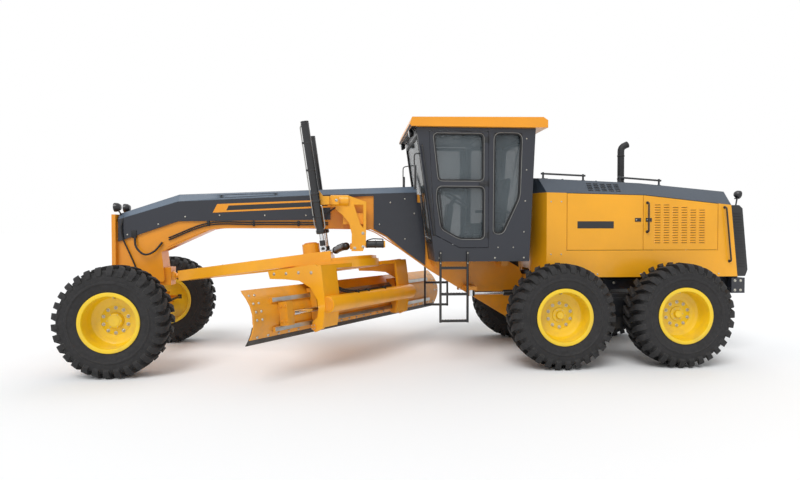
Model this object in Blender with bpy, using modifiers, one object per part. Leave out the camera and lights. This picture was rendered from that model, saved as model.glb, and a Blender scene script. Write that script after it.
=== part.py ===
"""Motor grader with an articulated frame: metres, +X forward, +Y left, +Z up.

The origin is on the ground, under the middle of the machine. Every piece is drawn where it
stands, and each moving piece hangs on an empty that lies on its joint's axis.
"""

import math

import bmesh
import bpy
from mathutils import Matrix, Vector

# ---- Driving dimensions (metres) ---------------------------------------------------------

TOUCH = 0.0003  # gap between pieces that bear on each other
RUNNING = 0.005  # gap between pieces that move past each other
LEFT, RIGHT = 1, -1

# Wheels
TYRE_RADIUS = 0.655
TYRE_WIDTH = 0.445
BEAD_RADIUS = 0.3258
RIM_WIDTH = 0.396
FLANGE_RADIUS = 0.3555
TRACK = 2.155
FRONT_AXLE_X = 3.77
TANDEM_X = -2.395
TANDEM_SPACING = 1.54
DISC_BACK = -0.06  # rim disc, measured outwards from the wheel's middle
DISC_FRONT = -0.03

# Front axle, wheel lean and steering
AXLE_Z = 0.60
LEAN_PIN_Y = 0.62
KINGPIN_Y = 0.83
BEAM_HALF = 0.08
LEAN_BAR_Z = 0.85
STEER_ARM = 0.175
TIE_ROD_Z = 0.72

# Frames
FRAME_HALF = 0.15
COVER_HALF = 0.175
COVER_TOP_HALF = 0.11
COVER_SHEET = 0.012
PIVOT_X = -1.55
TONGUE_LOW, TONGUE_HIGH = 0.70, 1.10
PIVOT_PIN = 0.05
RAIL_LOW, RAIL_HIGH = 0.915, 1.09
RAIL_INNER, RAIL_OUTER = 0.36, 0.46
STEER_EYE_FRONT_X = -0.63
STEER_EYE_REAR_X = -1.95
STEER_EYE_Y = 0.41

# Cab
CAB_HALF = 0.80
CAB_WALL = 0.05
CAB_BOTTOM = 1.32
CAB_TOP = 3.035
CAB_REAR_LOW_X = -1.31
CAB_REAR_TOP_X = -1.39
CAB_FRONT_LOW_X = -0.085
CAB_FRONT_TOP_X = 0.16
DOOR_REAR_X = -0.77
DOOR_GAP = 0.006

# Hood
HOOD_HALF = 0.62
HOOD_TOP_HALF = 0.45
HOOD_SHEET = 0.03
HOOD_CORNER = 0.10  # front corners: how far back they start
HOOD_NOSE_HALF = 0.36
HOOD_LOW = 1.0903
HOOD_SPLIT_Z = 1.45
DOOR_SPLITS = (-1.88, -2.93, -3.98)
EXHAUST_X = -2.90
EXHAUST_RADIUS = 0.05
RAIL_TUBE = 0.014

# Drawbar, circle and blade
BALL = Vector((3.43, 0.0, 1.10))
BALL_RADIUS = 0.07
DRAWBAR_PITCH = math.radians(6.4)  # rear end up
DRAWBAR_ROLL = math.radians(5.2)  # left side up
DRAWBAR_DEPTH = 0.14
STUD_RADIUS = 0.04
STUD_HALF = 0.035
CIRCLE_CENTRE = Vector((1.30, 0.0, 1.25))
CIRCLE_RADIUS = 0.70
CIRCLE_BORE = 0.56
CIRCLE_DEPTH = 0.10
BLADE_ANGLE = math.radians(35.3)  # left end forward of straight across
ARM_Y = 1.00
ARM_PLATE = 0.04
ARM_BACK_X = -0.66
TILT_X, TILT_Z = -0.45, -0.77
BLADE_LENGTH = 4.27
BLADE_SHIFT = -0.22
BLADE_X = -0.243
BLADE_LOW, BLADE_HIGH = -0.79, -0.24
EDGE_LOW = -0.849
BLADE_BOW = 0.15
BLADE_SHEET = 0.02
BLADE_FACETS = 8
EDGE_SHEET = 0.014
SIDE_SHIFT_Z = -0.56
SIDE_SHIFT_X = -0.475

# Lift cylinders
LIFT_Y = 0.62
LIFT_TRUNNION = (1.44, 2.14)
LIFT_EYE_X = 1.34
LIFT_BARREL = 0.052
LIFT_TOP = 0.98  # barrel above its trunnion
LIFT_BOTTOM = 0.47  # barrel below its trunnion
LIFT_ROD = 0.028
SHIFT_PIVOT = Vector((1.06, 0.20, 1.50))
SHIFT_PAD_X = 1.005

# ---- Scene, materials and joints -----------------------------------------------------------

for old in list(bpy.data.objects):
    bpy.data.objects.remove(old)

scene_root = bpy.context.scene.collection
PARTS = bpy.data.collections.new("motor_grader")
TOOLS = bpy.data.collections.new("cutters")
scene_root.children.link(PARTS)
scene_root.children.link(TOOLS)

# name: (colour, roughness, metallic)
PAINTS = {
    "yellow_paint": ((0.85, 0.42, 0.02), 0.40, 0.0),
    "orange_paint": ((0.80, 0.28, 0.02), 0.40, 0.0),
    "dark_paint": ((0.025, 0.030, 0.045), 0.45, 0.0),
    "black_paint": ((0.015, 0.015, 0.017), 0.55, 0.0),
    "tyre_rubber": ((0.02, 0.02, 0.02), 0.85, 0.0),
    "glass": ((0.25, 0.32, 0.34), 0.05, 0.0),
    "polished_steel": ((0.70, 0.71, 0.72), 0.18, 1.0),
    "dark_steel": ((0.06, 0.06, 0.065), 0.50, 1.0),
    "seat_trim": ((0.03, 0.03, 0.033), 0.80, 0.0),
}


def paint(name):
    """The named Principled material, made at its first use."""
    if name in bpy.data.materials:
        return bpy.data.materials[name]
    colour, roughness, metallic = PAINTS[name]
    material = bpy.data.materials.new(name)
    material.use_nodes = True
    shader = material.node_tree.nodes["Principled BSDF"]
    shader.inputs["Base Color"].default_value = (*colour, 1.0)
    shader.inputs["Roughness"].default_value = roughness
    shader.inputs["Metallic"].default_value = metallic
    if name == "glass":
        shader.inputs["Alpha"].default_value = 0.35
    return material


def joint(name, place, axis, parent=None):
    """An empty whose +Z lies on a joint's axis, carried by its parent joint."""
    empty = bpy.data.objects.new(name, None)
    PARTS.objects.link(empty)
    turn = Vector(axis).to_track_quat("Z", "Y").to_matrix().to_4x4()
    empty.matrix_world = Matrix.Translation(place) @ turn
    if parent:
        keep = empty.matrix_world.copy()
        empty.parent = parent
        empty.matrix_parent_inverse = parent.matrix_world.inverted()
        empty.matrix_world = keep
    bpy.context.view_layer.update()
    return empty


# ---- Shapes --------------------------------------------------------------------------------


def as_piece(mesh):
    """A mesh as a helper object, hidden until a node takes it."""
    piece = bpy.data.objects.new("piece", mesh)
    piece.hide_render = True
    piece.display_type = "WIRE"
    TOOLS.objects.link(piece)
    return piece


def from_bmesh(bm):
    mesh = bpy.data.meshes.new("piece")
    bmesh.ops.recalc_face_normals(bm, faces=bm.faces)
    bm.to_mesh(mesh)
    bm.free()
    return as_piece(mesh)


def box(x, y, z):
    """A box from its (low, high) along each axis."""
    spans = [sorted(span) for span in (x, y, z)]
    bm = bmesh.new()
    bmesh.ops.create_cube(bm, size=1.0)
    size = Matrix.Diagonal([high - low for low, high in spans]).to_4x4()
    middle = Matrix.Translation([(high + low) / 2 for low, high in spans])
    bmesh.ops.transform(bm, matrix=middle @ size, verts=bm.verts)
    return from_bmesh(bm)


def rod(start, end, radius, sides=16, end_radius=None):
    """A round bar or a cone between two points."""
    start, end = Vector(start), Vector(end)
    along = end - start
    bm = bmesh.new()
    bmesh.ops.create_cone(
        bm,
        cap_ends=True,
        segments=sides,
        radius1=radius,
        radius2=radius if end_radius is None else end_radius,
        depth=along.length,
    )
    turn = along.to_track_quat("Z", "Y").to_matrix().to_4x4()
    bmesh.ops.transform(bm, matrix=Matrix.Translation((start + end) / 2) @ turn, verts=bm.verts)
    return from_bmesh(bm)


def ball(centre, radius, across):
    """A sphere with its poles on the `across` direction."""
    bm = bmesh.new()
    bmesh.ops.create_uvsphere(bm, u_segments=24, v_segments=12, radius=radius)
    turn = Vector(across).to_track_quat("Z", "Y").to_matrix().to_4x4()
    bmesh.ops.transform(bm, matrix=Matrix.Translation(centre) @ turn, verts=bm.verts)
    return from_bmesh(bm)


# How an outline's two coordinates and its thickness lie: (Y, Z) along X, (X, Z) along Y, (X, Y) along Z
FACING = {
    "X": Matrix(((0, 0, 1, 0), (1, 0, 0, 0), (0, 1, 0, 0), (0, 0, 0, 1))),
    "Y": Matrix(((1, 0, 0, 0), (0, 0, -1, 0), (0, 1, 0, 0), (0, 0, 0, 1))),
    "Z": Matrix.Identity(4),
}


def plate(outline, axis, span, holes=()):
    """A flat outline, with holes, made solid over a (low, high) span of one axis."""
    low, high = sorted(span)
    curve = bpy.data.curves.new("outline", "CURVE")
    curve.dimensions = "2D"
    curve.fill_mode = "BOTH"
    curve.extrude = (high - low) / 2
    for points in (outline, *holes):
        spline = curve.splines.new("POLY")
        spline.points.add(len(points) - 1)
        for point, (u, v) in zip(spline.points, points):
            point.co = (u, v, 0.0, 1.0)
        spline.use_cyclic_u = True
    guide = bpy.data.objects.new("outline", curve)
    TOOLS.objects.link(guide)
    bpy.context.view_layer.update()
    evaluated = guide.evaluated_get(bpy.context.evaluated_depsgraph_get())
    bm = bmesh.new()
    bm.from_mesh(bpy.data.meshes.new_from_object(evaluated))
    bpy.data.objects.remove(guide)
    bmesh.ops.remove_doubles(bm, verts=bm.verts, dist=0.00001)
    middle = Vector({"X": (1, 0, 0), "Y": (0, 1, 0), "Z": (0, 0, 1)}[axis]) * (low + high) / 2
    bmesh.ops.transform(bm, matrix=Matrix.Translation(middle) @ FACING[axis], verts=bm.verts)
    return from_bmesh(bm)


def loft(sections):
    """A closed solid through sections that have the same number of points."""
    bm = bmesh.new()
    rings = [[bm.verts.new(point) for point in section] for section in sections]
    for here, after in zip(rings, rings[1:]):
        for first in range(len(here)):
            second = (first + 1) % len(here)
            bm.faces.new((here[first], here[second], after[second], after[first]))
    bm.faces.new(rings[0])
    bm.faces.new(rings[-1])
    return from_bmesh(bm)


def turned(profile, sides):
    """A closed (radius, height) profile turned about Z."""
    mesh = bpy.data.meshes.new("profile")
    edges = [(i, (i + 1) % len(profile)) for i in range(len(profile))]
    mesh.from_pydata([(radius, 0.0, height) for radius, height in profile], edges, [])
    guide = bpy.data.objects.new("profile", mesh)
    TOOLS.objects.link(guide)
    screw = guide.modifiers.new("turn", "SCREW")
    screw.steps = screw.render_steps = sides
    screw.use_merge_vertices = True
    screw.merge_threshold = 0.0001
    bpy.context.view_layer.update()
    evaluated = guide.evaluated_get(bpy.context.evaluated_depsgraph_get())
    bm = bmesh.new()
    bm.from_mesh(bpy.data.meshes.new_from_object(evaluated))
    bpy.data.objects.remove(guide)
    bmesh.ops.remove_doubles(bm, verts=bm.verts, dist=0.00001)
    return from_bmesh(bm)


def sliced(piece, place, outward):
    """A solid with everything beyond a plane taken off."""
    bm = bmesh.new()
    bm.from_mesh(piece.data)
    everything = [*bm.verts, *bm.edges, *bm.faces]
    bmesh.ops.bisect_plane(
        bm, geom=everything, dist=0.000001, plane_co=place, plane_no=outward, clear_outer=True
    )
    bmesh.ops.holes_fill(bm, edges=[edge for edge in bm.edges if edge.is_boundary], sides=0)
    bmesh.ops.recalc_face_normals(bm, faces=bm.faces)
    bm.to_mesh(piece.data)
    bm.free()
    return piece


def moved(piece, matrix):
    piece.data.transform(matrix)
    return piece


def arc(centre, radius, start, end, count):
    """Points along a circle, from one angle to another, in degrees."""
    turns = [math.radians(start + (end - start) * i / count) for i in range(count + 1)]
    return [(centre[0] + radius * math.cos(t), centre[1] + radius * math.sin(t)) for t in turns]


def node(name, material, pieces, cuts=(), on=None, frame=None):
    """One sub-part: its first piece joined with the rest, less the cuts."""
    base, *others = pieces
    if frame is not None:
        for piece in (*pieces, *cuts):
            moved(piece, frame)
    base.name = base.data.name = name
    TOOLS.objects.unlink(base)
    PARTS.objects.link(base)
    base.hide_render = False
    base.display_type = "TEXTURED"
    for operation, tools in (("UNION", others), ("DIFFERENCE", cuts)):
        for tool in tools:
            tool.name = f"{name}_tool"
            change = base.modifiers.new(operation.lower(), "BOOLEAN")
            change.operation = operation
            change.object = tool
    base.data.materials.append(paint(material))
    base.data.shade_smooth()
    base.data.set_sharp_from_angle(angle=math.radians(35))
    if on:
        base.parent = on
        base.matrix_parent_inverse = on.matrix_world.inverted()
    return base


def side_name(side):
    return "left" if side == LEFT else "right"


# ---- Wheels --------------------------------------------------------------------------------


def wheel(name, place, side, hub):
    """A tyre on its dished rim, turning on a hub."""
    spin = joint(f"{name}_spin", place, (0, 1, 0), hub)
    face_out = Matrix.Translation(place) @ Matrix.Rotation(math.radians(-90 * side), 4, "X")
    half = RIM_WIDTH / 2
    wide = TYRE_WIDTH / 2
    flange = 0.012
    tyre_half = [
        (BEAD_RADIUS, half - 0.0225),
        (FLANGE_RADIUS + 0.002, half - 0.0135),
        (0.50, wide),
        (0.62, wide - 0.018),
        (TYRE_RADIUS, wide - 0.0625),
    ]
    tyre = tyre_half + [(radius, -height) for radius, height in reversed(tyre_half)]
    node(f"{name}_tyre", "tyre_rubber", [turned(tyre, 36)], on=spin, frame=face_out)
    bead = BEAD_RADIUS - TOUCH
    rim = [
        (0.0, 0.03),
        (0.09, 0.03),
        (0.10, DISC_FRONT),
        (bead - 0.02, DISC_FRONT),
        (bead - 0.02, half),
        (FLANGE_RADIUS, half),
        (FLANGE_RADIUS, half - flange),
        (bead, half - 0.0215),
        (bead, 0.0215 - half),
        (FLANGE_RADIUS, flange - half),
        (FLANGE_RADIUS, -half),
        (bead - 0.02, -half),
        (bead - 0.02, DISC_BACK),
        (0.0, DISC_BACK),
    ]
    node(f"{name}_rim", "yellow_paint", [turned(rim, 36)], on=spin, frame=face_out)


# ---- Rear half: frame, tandem drive, engine and hood ------------------------------------------


def build_rear_frame():
    rails = [
        box((-4.38, -1.76), (side * RAIL_INNER, side * RAIL_OUTER), (RAIL_LOW, RAIL_HIGH))
        for side in (LEFT, RIGHT)
    ]
    front_cross = box((-2.02, -1.76), (-RAIL_OUTER, RAIL_OUTER), (RAIL_LOW + 0.01, RAIL_HIGH - 0.01))
    middle_cross = box((-2.55, -2.25), (-0.40, 0.40), (RAIL_LOW + 0.01, RAIL_HIGH - 0.01))
    tail = box((-4.39, -4.20), (-0.60, 0.60), (0.86, 1.07))
    outriggers = [box(x, (-0.615, 0.615), (RAIL_HIGH - 0.05, RAIL_HIGH)) for x in ((-2.00, -1.80), (-3.95, -3.80))]
    plates = []
    for low, high in ((TONGUE_LOW - 0.055, TONGUE_LOW - RUNNING), (TONGUE_HIGH + RUNNING, TONGUE_HIGH + 0.055)):
        plates.append(rod((PIVOT_X, 0, low), (PIVOT_X, 0, high), 0.14, 24))
        plates.append(box((-1.90, PIVOT_X), (-0.14, 0.14), (low, high)))
    web = box((-1.95, -1.77), (-0.141, 0.141), (TONGUE_LOW - 0.055, TONGUE_HIGH + 0.055))
    pin = rod((PIVOT_X, 0, TONGUE_LOW - 0.04), (PIVOT_X, 0, TONGUE_HIGH + 0.04), PIVOT_PIN, 24)
    node(
        "rear_frame",
        "dark_paint",
        [*rails, front_cross, middle_cross, tail, web, *outriggers, *plates, pin],
    )


def build_tandem_drive():
    """The axle across the frame and the two cases that carry the rear wheels."""
    low, high = 0.45, 0.86
    front = TANDEM_X + TANDEM_SPACING / 2
    rear = TANDEM_X - TANDEM_SPACING / 2
    inner, outer = 0.60, 0.80
    pieces = [rod((TANDEM_X, -0.7, TYRE_RADIUS), (TANDEM_X, 0.7, TYRE_RADIUS), 0.15, 20)]
    pieces.append(box((TANDEM_X - 0.16, TANDEM_X + 0.16), (-0.44, 0.44), (TYRE_RADIUS, RAIL_LOW - TOUCH)))
    outline = (
        arc((front, TYRE_RADIUS), 0.205, -90, 90, 6)
        + [(TANDEM_X, high + 0.04)]
        + arc((rear, TYRE_RADIUS), 0.205, 90, 270, 6)
        + [(TANDEM_X, low - 0.02)]
    )
    for side in (LEFT, RIGHT):
        pieces.append(plate(outline, "Y", (side * inner, side * outer)))
        for x in (front, rear):
            end = side * (TRACK / 2 + DISC_BACK - TOUCH)
            pieces.append(rod((x, side * 0.7, TYRE_RADIUS), (x, end, TYRE_RADIUS), 0.12, 20))
    node("tandem_drive", "black_paint", pieces)
    for side in (LEFT, RIGHT):
        for row, x in (("mid", front), ("rear", rear)):
            place = (x, side * TRACK / 2, TYRE_RADIUS)
            wheel(f"{row}_wheel_{side_name(side)}", place, side, None)


# Hood height at three stations: x, side edge z, top z
HOOD_LINE = ((-1.50, 2.225, 2.425), (-2.95, 2.195, 2.365), (-4.17, 2.065, 2.255))
HOOD_FRONT_X = -1.50
HOOD_REAR_TOP_X, HOOD_REAR_LOW_X = -4.17, -4.27


def hood_edge(x):
    """Height of the hood's side edge at x."""
    stations = HOOD_LINE[:2] if x > HOOD_LINE[1][0] else HOOD_LINE[1:]
    (x0, z0, _), (x1, z1, _) = stations
    return z0 + (z1 - z0) * (x - x0) / (x1 - x0)


def lid_top(x):
    """Height of the hood's top at x."""
    stations = HOOD_LINE[:2] if x > HOOD_LINE[1][0] else HOOD_LINE[1:]
    (x0, _, z0), (x1, _, z1) = stations
    return z0 + (z1 - z0) * (x - x0) / (x1 - x0)


def hood_rear_x(z):
    """The hood's rear edge at height z."""
    share = (z - HOOD_LOW) / (HOOD_LINE[-1][1] - HOOD_LOW)
    return HOOD_REAR_LOW_X + (HOOD_REAR_TOP_X - HOOD_REAR_LOW_X) * share


def build_hood():
    sheet = HOOD_SHEET

    def lid_section(x, side_z, top_z, inset, drop):
        half, top_half = HOOD_HALF - inset, HOOD_TOP_HALF - inset / 2
        right = [(half, side_z - drop), (half, side_z), (top_half, top_z - inset)]
        return [(x, y, z) for y, z in right + [(-y, z) for y, z in reversed(right)]]

    def chamfered(piece, inset):
        """The piece with its front corners taken off, so that the cab clears them when steered."""
        front, half = HOOD_FRONT_X - inset, HOOD_NOSE_HALF
        back = HOOD_FRONT_X - HOOD_CORNER
        for side in (LEFT, RIGHT):
            outward = Vector((HOOD_HALF - half, side * HOOD_CORNER, 0)).normalized()
            piece = sliced(piece, Vector((back, side * HOOD_HALF, 0)) - outward * inset, outward)
        return sliced(piece, (front, 0, 0), (1, 0, 0))

    lid = chamfered(loft([lid_section(*station, 0.0, 0.0) for station in HOOD_LINE]), 0.0)
    (_, *first), middle, (_, *last) = HOOD_LINE
    hollow_line = ((HOOD_LINE[0][0] + 0.02, *first), middle, (HOOD_REAR_TOP_X + sheet, *last))
    lid_room = chamfered(loft([lid_section(*station, sheet, 0.1) for station in hollow_line]), sheet)
    pieces = [lid]
    # Handrails along the lid: (front x, rear x)
    for start, end in ((-1.62, -2.18), (-2.70, -3.26)):
        for side in (LEFT, RIGHT):
            y = side * 0.40
            height = 0.09
            feet = [(x, y, lid_top(x) - 0.015) for x in (start, end)]
            heads = [(x, y, lid_top(x) + height) for x in (start, end)]
            for foot, head in zip(feet, heads):
                pieces.append(rod(foot, head, RAIL_TUBE, 8))
            over = 0.03
            slope = (heads[1][2] - heads[0][2]) / (end - start)
            pieces.append(
                rod(
                    (start + over, y * 1.004, heads[0][2] - 0.02 + slope * over),
                    (end - over, y * 1.004, heads[1][2] - 0.02 - slope * over),
                    RAIL_TUBE * 0.93,
                    8,
                )
            )
    hole = rod((EXHAUST_X, 0, 2.2), (EXHAUST_X, 0, 2.6), EXHAUST_RADIUS + RUNNING, 16)
    node("hood_lid", "dark_paint", pieces, [lid_room, hole])

    walls = chamfered(box((HOOD_REAR_LOW_X, 0.0), (-HOOD_HALF, HOOD_HALF), (HOOD_LOW, 2.40)), 0.0)
    inner_half = HOOD_HALF - sheet
    hollow = chamfered(box((-4.6, 0.0), (-inner_half, inner_half), (HOOD_LOW - 0.1, 2.60)), sheet)
    stations = [(x, z - TOUCH) for x, z, _ in HOOD_LINE]
    above = plate(
        [(0.0, stations[0][1]), *stations, (-5.0, stations[-1][1]), (-5.0, 3.0), (0.0, 3.0)],
        "Y",
        (-0.8, 0.8),
    )
    rear = plate(
        [(hood_rear_x(2.4), 2.4), (hood_rear_x(1.0), 1.0), (-5.0, 1.0), (-5.0, 2.4)],
        "Y",
        (-0.8, 0.8),
    )
    openings = box(
        (DOOR_SPLITS[0] + DOOR_GAP, DOOR_SPLITS[2] - DOOR_GAP), (-0.8, 0.8), (HOOD_SPLIT_Z, 2.6)
    )
    hitch = box((-1.72, -1.40), (-0.17, 0.17), (1.0, TONGUE_HIGH + 0.08))
    node("hood_walls", "yellow_paint", [walls], [hollow, above, rear, openings, hitch])

    for side in (LEFT, RIGHT):
        for end, hinge_x, free_x in (
            ("front", DOOR_SPLITS[0], DOOR_SPLITS[1] + DOOR_GAP / 2),
            ("rear", DOOR_SPLITS[2], DOOR_SPLITS[1] - DOOR_GAP / 2),
        ):
            name = f"hood_door_{side_name(side)}_{end}"
            turn = -side if end == "front" else side
            swing = joint(f"{name}_hinge", (hinge_x, side * HOOD_HALF, HOOD_SPLIT_Z), (0, 0, turn))
            low = HOOD_SPLIT_Z + DOOR_GAP
            outline = [
                (hinge_x, low),
                (free_x, low),
                (free_x, hood_edge(free_x) - DOOR_GAP),
                (hinge_x, hood_edge(hinge_x) - DOOR_GAP),
            ]
            span = (side * (HOOD_HALF - sheet), side * HOOD_HALF)
            node(name, "yellow_paint", [plate(outline, "Y", span)], on=swing)

    grille_top = hood_edge(HOOD_REAR_TOP_X) - TOUCH
    grille = plate(
        [
            (hood_rear_x(grille_top) - RUNNING, grille_top),
            (hood_rear_x(HOOD_LOW) - RUNNING, HOOD_LOW),
            (-4.40, HOOD_LOW),
            (-4.435, 1.18),
            (-4.35, 2.03),
            (-4.30, grille_top),
        ],
        "Y",
        (-0.60, 0.60),
    )
    node("radiator_grille", "black_paint", [grille])


def build_engine():
    block = box((-3.15, -1.97), (-RAIL_OUTER, RAIL_OUTER), (RAIL_HIGH + TOUCH, 1.95))
    node("engine_block", "dark_steel", [block])
    top = 3.02
    bend = 0.10
    stack = rod((EXHAUST_X, 0, 1.95 + TOUCH), (EXHAUST_X, 0, top - bend), EXHAUST_RADIUS, 16)
    spout = rod((EXHAUST_X + 0.0145, 0, top - bend - 0.03), (EXHAUST_X - 0.06, 0, top), EXHAUST_RADIUS, 16)
    muffler = rod((EXHAUST_X, 0, 1.98), (EXHAUST_X, 0, 2.28), 0.13, 20)
    node("exhaust_stack", "dark_steel", [muffler, stack, spout])


# ---- Front half: frame, covers and cab ----------------------------------------------------------

# Boom underside from the nose back to the belly: x, z
BOOM_UNDERSIDE = (
    (3.52, 1.43),
    (2.83, 1.747),
    (1.79, 1.745),
    (0.71, 1.729),
    (0.50, 1.62),
    (0.31, 1.455),
    (-0.15, 1.13),
    (-1.16, 0.52),
)
# Boom cover stations: x, lower edge z, side edge z, top z
COVER_LINE = (
    (4.07, 1.57, 1.86, 1.94),
    (3.29, 1.84, 2.10, 2.20),
    (1.52, 1.86, 2.19, 2.27),
    (0.085, 1.88, 2.235, 2.325),
)


def build_front_frame(front):
    floor = CAB_BOTTOM - TOUCH
    outline = [
        (4.10, 1.03),
        (4.10, 1.83),
        (3.29, 2.085),
        (1.52, 2.172),
        (cab_front_x(2.215) + RUNNING, 2.215),
        (cab_front_x(floor) + RUNNING, floor),
        (-1.15, floor),
        (-1.36, 1.20),
        (-1.40, TONGUE_HIGH),
        (-1.40, TONGUE_LOW),
        *reversed(BOOM_UNDERSIDE),
        (3.48, 1.07),
        (3.50, 1.03),
    ]
    spine = plate(outline, "Y", (-FRAME_HALF, FRAME_HALF))
    nose = box((4.09, 4.14), (-0.21, 0.21), (1.05, 1.93))
    leg = box((FRONT_AXLE_X - 0.13, FRONT_AXLE_X + 0.09), (-0.10, 0.10), (0.72 + TOUCH, 1.10))
    cup = box((BALL.x - 0.02, BALL.x + 0.20), (-0.11, 0.11), (0.98, 1.22))
    tongue = rod((PIVOT_X, 0, TONGUE_LOW), (PIVOT_X, 0, TONGUE_HIGH), 0.13, 24)
    neck = box((PIVOT_X, -1.35), (-0.12, 0.12), (TONGUE_LOW, TONGUE_HIGH))
    lug_z = (RAIL_LOW + TOUCH, RAIL_LOW + 0.05)
    lugs = box((STEER_EYE_FRONT_X - 0.07, STEER_EYE_FRONT_X + 0.07), (-0.46, 0.46), lug_z)
    seats = [
        box((-0.24, -0.12), (-0.65, 0.65), (1.24, floor)),
        box((-1.12, -1.02), (-0.50, 0.50), (1.24, floor)),
    ]
    node(
        "front_frame",
        "orange_paint",
        [spine, nose, leg, cup, tongue, neck, lugs, *seats],
        [
            ball(BALL, BALL_RADIUS + 0.0013, (0, 1, 0)),
            rod((PIVOT_X, 0, 0.5), (PIVOT_X, 0, 1.3), PIVOT_PIN + 0.001, 24),
        ],
        on=front,
    )


def build_boom_cover(front):
    def section(x, low, side_z, top_z, sheet, drop):
        half, top_half = COVER_HALF - sheet, COVER_TOP_HALF - sheet / 2
        right = [(half, low - drop), (half, side_z), (top_half, top_z - sheet)]
        return [(x, y, z) for y, z in right + [(-y, z) for y, z in reversed(right)]]

    def lengthened(stations, extra):
        """The stations, carried on past both ends."""
        (x0, *first), (x1, *_) = stations[0], stations[1]
        (x9, *last) = stations[-1]
        return [(x0 + extra, *first), *stations[1:-1], (x9 - extra, *last)]

    shell = loft([section(*station, 0.0, 0.0) for station in COVER_LINE])
    inside = loft([section(*station, COVER_SHEET, 0.1) for station in lengthened(COVER_LINE, 0.03)])
    # The rear skirt of the cover hangs lower, down to the boom's underside
    skirts = []
    apron = [(0.68, 2.1), (0.68, 1.74), (0.49, 1.635), (0.28, 1.46), (-0.03, 1.235), (-0.03, 1.60), (0.035, 2.1)]
    for side in (LEFT, RIGHT):
        skirts.append(plate(apron, "Y", (side * (COVER_HALF - COVER_SHEET), side * COVER_HALF)))
    notch = plate([(1.27, 1.5), (1.27, 2.165), (0.68, 2.19), (0.68, 1.5)], "Y", (-0.3, 0.3))
    shell.name = "boom_cover"
    base = node("boom_cover", "dark_paint", [shell], [inside, notch], on=front)
    for skirt in skirts:
        skirt.name = "boom_cover_tool"
        join = base.modifiers.new("union", "BOOLEAN")
        join.operation = "UNION"
        join.object = skirt


def build_lift_saddle(front):
    """The yoke round the boom that holds the lift cylinders and the shift link."""
    pieces = []
    arm = [
        (1.25, 2.184),
        (1.25, 2.045),
        (1.10, 1.92),
        (1.016, 1.816),
        (0.98, 1.67),
        (0.985, 1.44),
        (0.83, 1.44),
        (0.79, 1.55),
        (0.785, 2.10),
        (1.03, 2.184),
    ]
    opening = [(0.825, 1.75), (0.825, 2.06), (0.95, 2.06), (0.865, 1.80)]
    for side in (LEFT, RIGHT):
        pieces.append(plate(arm, "Y", (side * 0.27, side * 0.37), [opening]))
        pieces.append(rod((1.02, side * 0.34, 2.115), (1.26, side * 0.34, 2.115), 0.075, 16))
        pieces.append(box((1.15, 1.36), (side * 0.30, side * 0.46), (2.06, 2.165)))
        block = [(1.27, 2.06), (1.42, 2.045), (1.50, 2.19), (1.40, 2.235), (1.35, 2.165), (1.27, 2.165)]
        pieces.append(plate(block, "Y", (side * 0.44, side * (LIFT_Y - LIFT_BARREL - 0.02))))
    pieces.append(rod((0.91, -0.37, 1.505), (0.91, 0.37, 1.505), 0.06, 16))
    pieces.append(box((0.84, 0.98), (-0.36, 0.36), (1.46, 1.55)))
    pivot = SHIFT_PIVOT
    pieces.append(box((0.97, SHIFT_PAD_X), (pivot.y - 0.05, pivot.y + 0.05), (pivot.z - 0.04, pivot.z + 0.04)))
    # Boom pads fill the cover's notch and carry the yoke
    for side in (LEFT, RIGHT):
        pieces.append(box((0.80, 1.10), (side * (FRAME_HALF + TOUCH), side * 0.30), (1.80, 1.95)))
    lock = rod((0.80, 0.30, 1.53), (0.53, 0.30, 1.53), 0.045, 12)
    pieces.append(lock)
    node("lift_saddle", "yellow_paint", pieces, on=front)


def cab_front_x(z):
    """The cab's front face at height z."""
    share = (z - 1.32) / (CAB_TOP - 1.32)
    return CAB_FRONT_LOW_X + (CAB_FRONT_TOP_X - CAB_FRONT_LOW_X) * share


def cab_rear_x(z):
    """The cab's rear face at height z."""
    share = (z - 1.32) / (CAB_TOP - 1.32)
    return CAB_REAR_LOW_X + (CAB_REAR_TOP_X - CAB_REAR_LOW_X) * share


def cab_outline(inset):
    low, high = CAB_BOTTOM + inset, CAB_TOP - inset
    return [
        (cab_front_x(low) - inset, low),
        (cab_front_x(high) - inset, high),
        (cab_rear_x(high) + inset, high),
        (cab_rear_x(low) + inset, low),
    ]


DOOR_LOW, DOOR_HIGH = 1.50, 2.985
# Door edge and windows, seen from the side: x, z
DOOR_EDGE = (
    (DOOR_REAR_X, DOOR_LOW),
    (-0.40, DOOR_LOW),
    (-0.09, 1.66),
    (-0.05, 2.15),
    (-0.005, DOOR_HIGH),
    (DOOR_REAR_X, DOOR_HIGH),
)
UPPER_WINDOW = ((-0.131, 2.362), (-0.70, 2.362), (-0.70, 2.948), (-0.065, 2.948))
LOWER_WINDOW = (
    (-0.106, 2.145),
    (-0.12, 2.272),
    (-0.71, 2.272),
    (-0.71, 1.615),
    (-0.403, 1.615),
    (-0.165, 1.743),
)
QUARTER_WINDOW = ((-0.854, 2.96), (-1.202, 2.96), (-1.176, 2.149), (-0.957, 1.685), (-0.846, 1.685))


def grown(outline, extra):
    """An outline pushed out from its middle by about `extra` on every side."""
    middle_u = sum(u for u, _ in outline) / len(outline)
    middle_v = sum(v for _, v in outline) / len(outline)
    pushed = []
    for u, v in outline:
        reach = math.hypot(u - middle_u, v - middle_v)
        share = 1 + extra * 1.3 / reach
        pushed.append((middle_u + (u - middle_u) * share, middle_v + (v - middle_v) * share))
    return pushed


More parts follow.
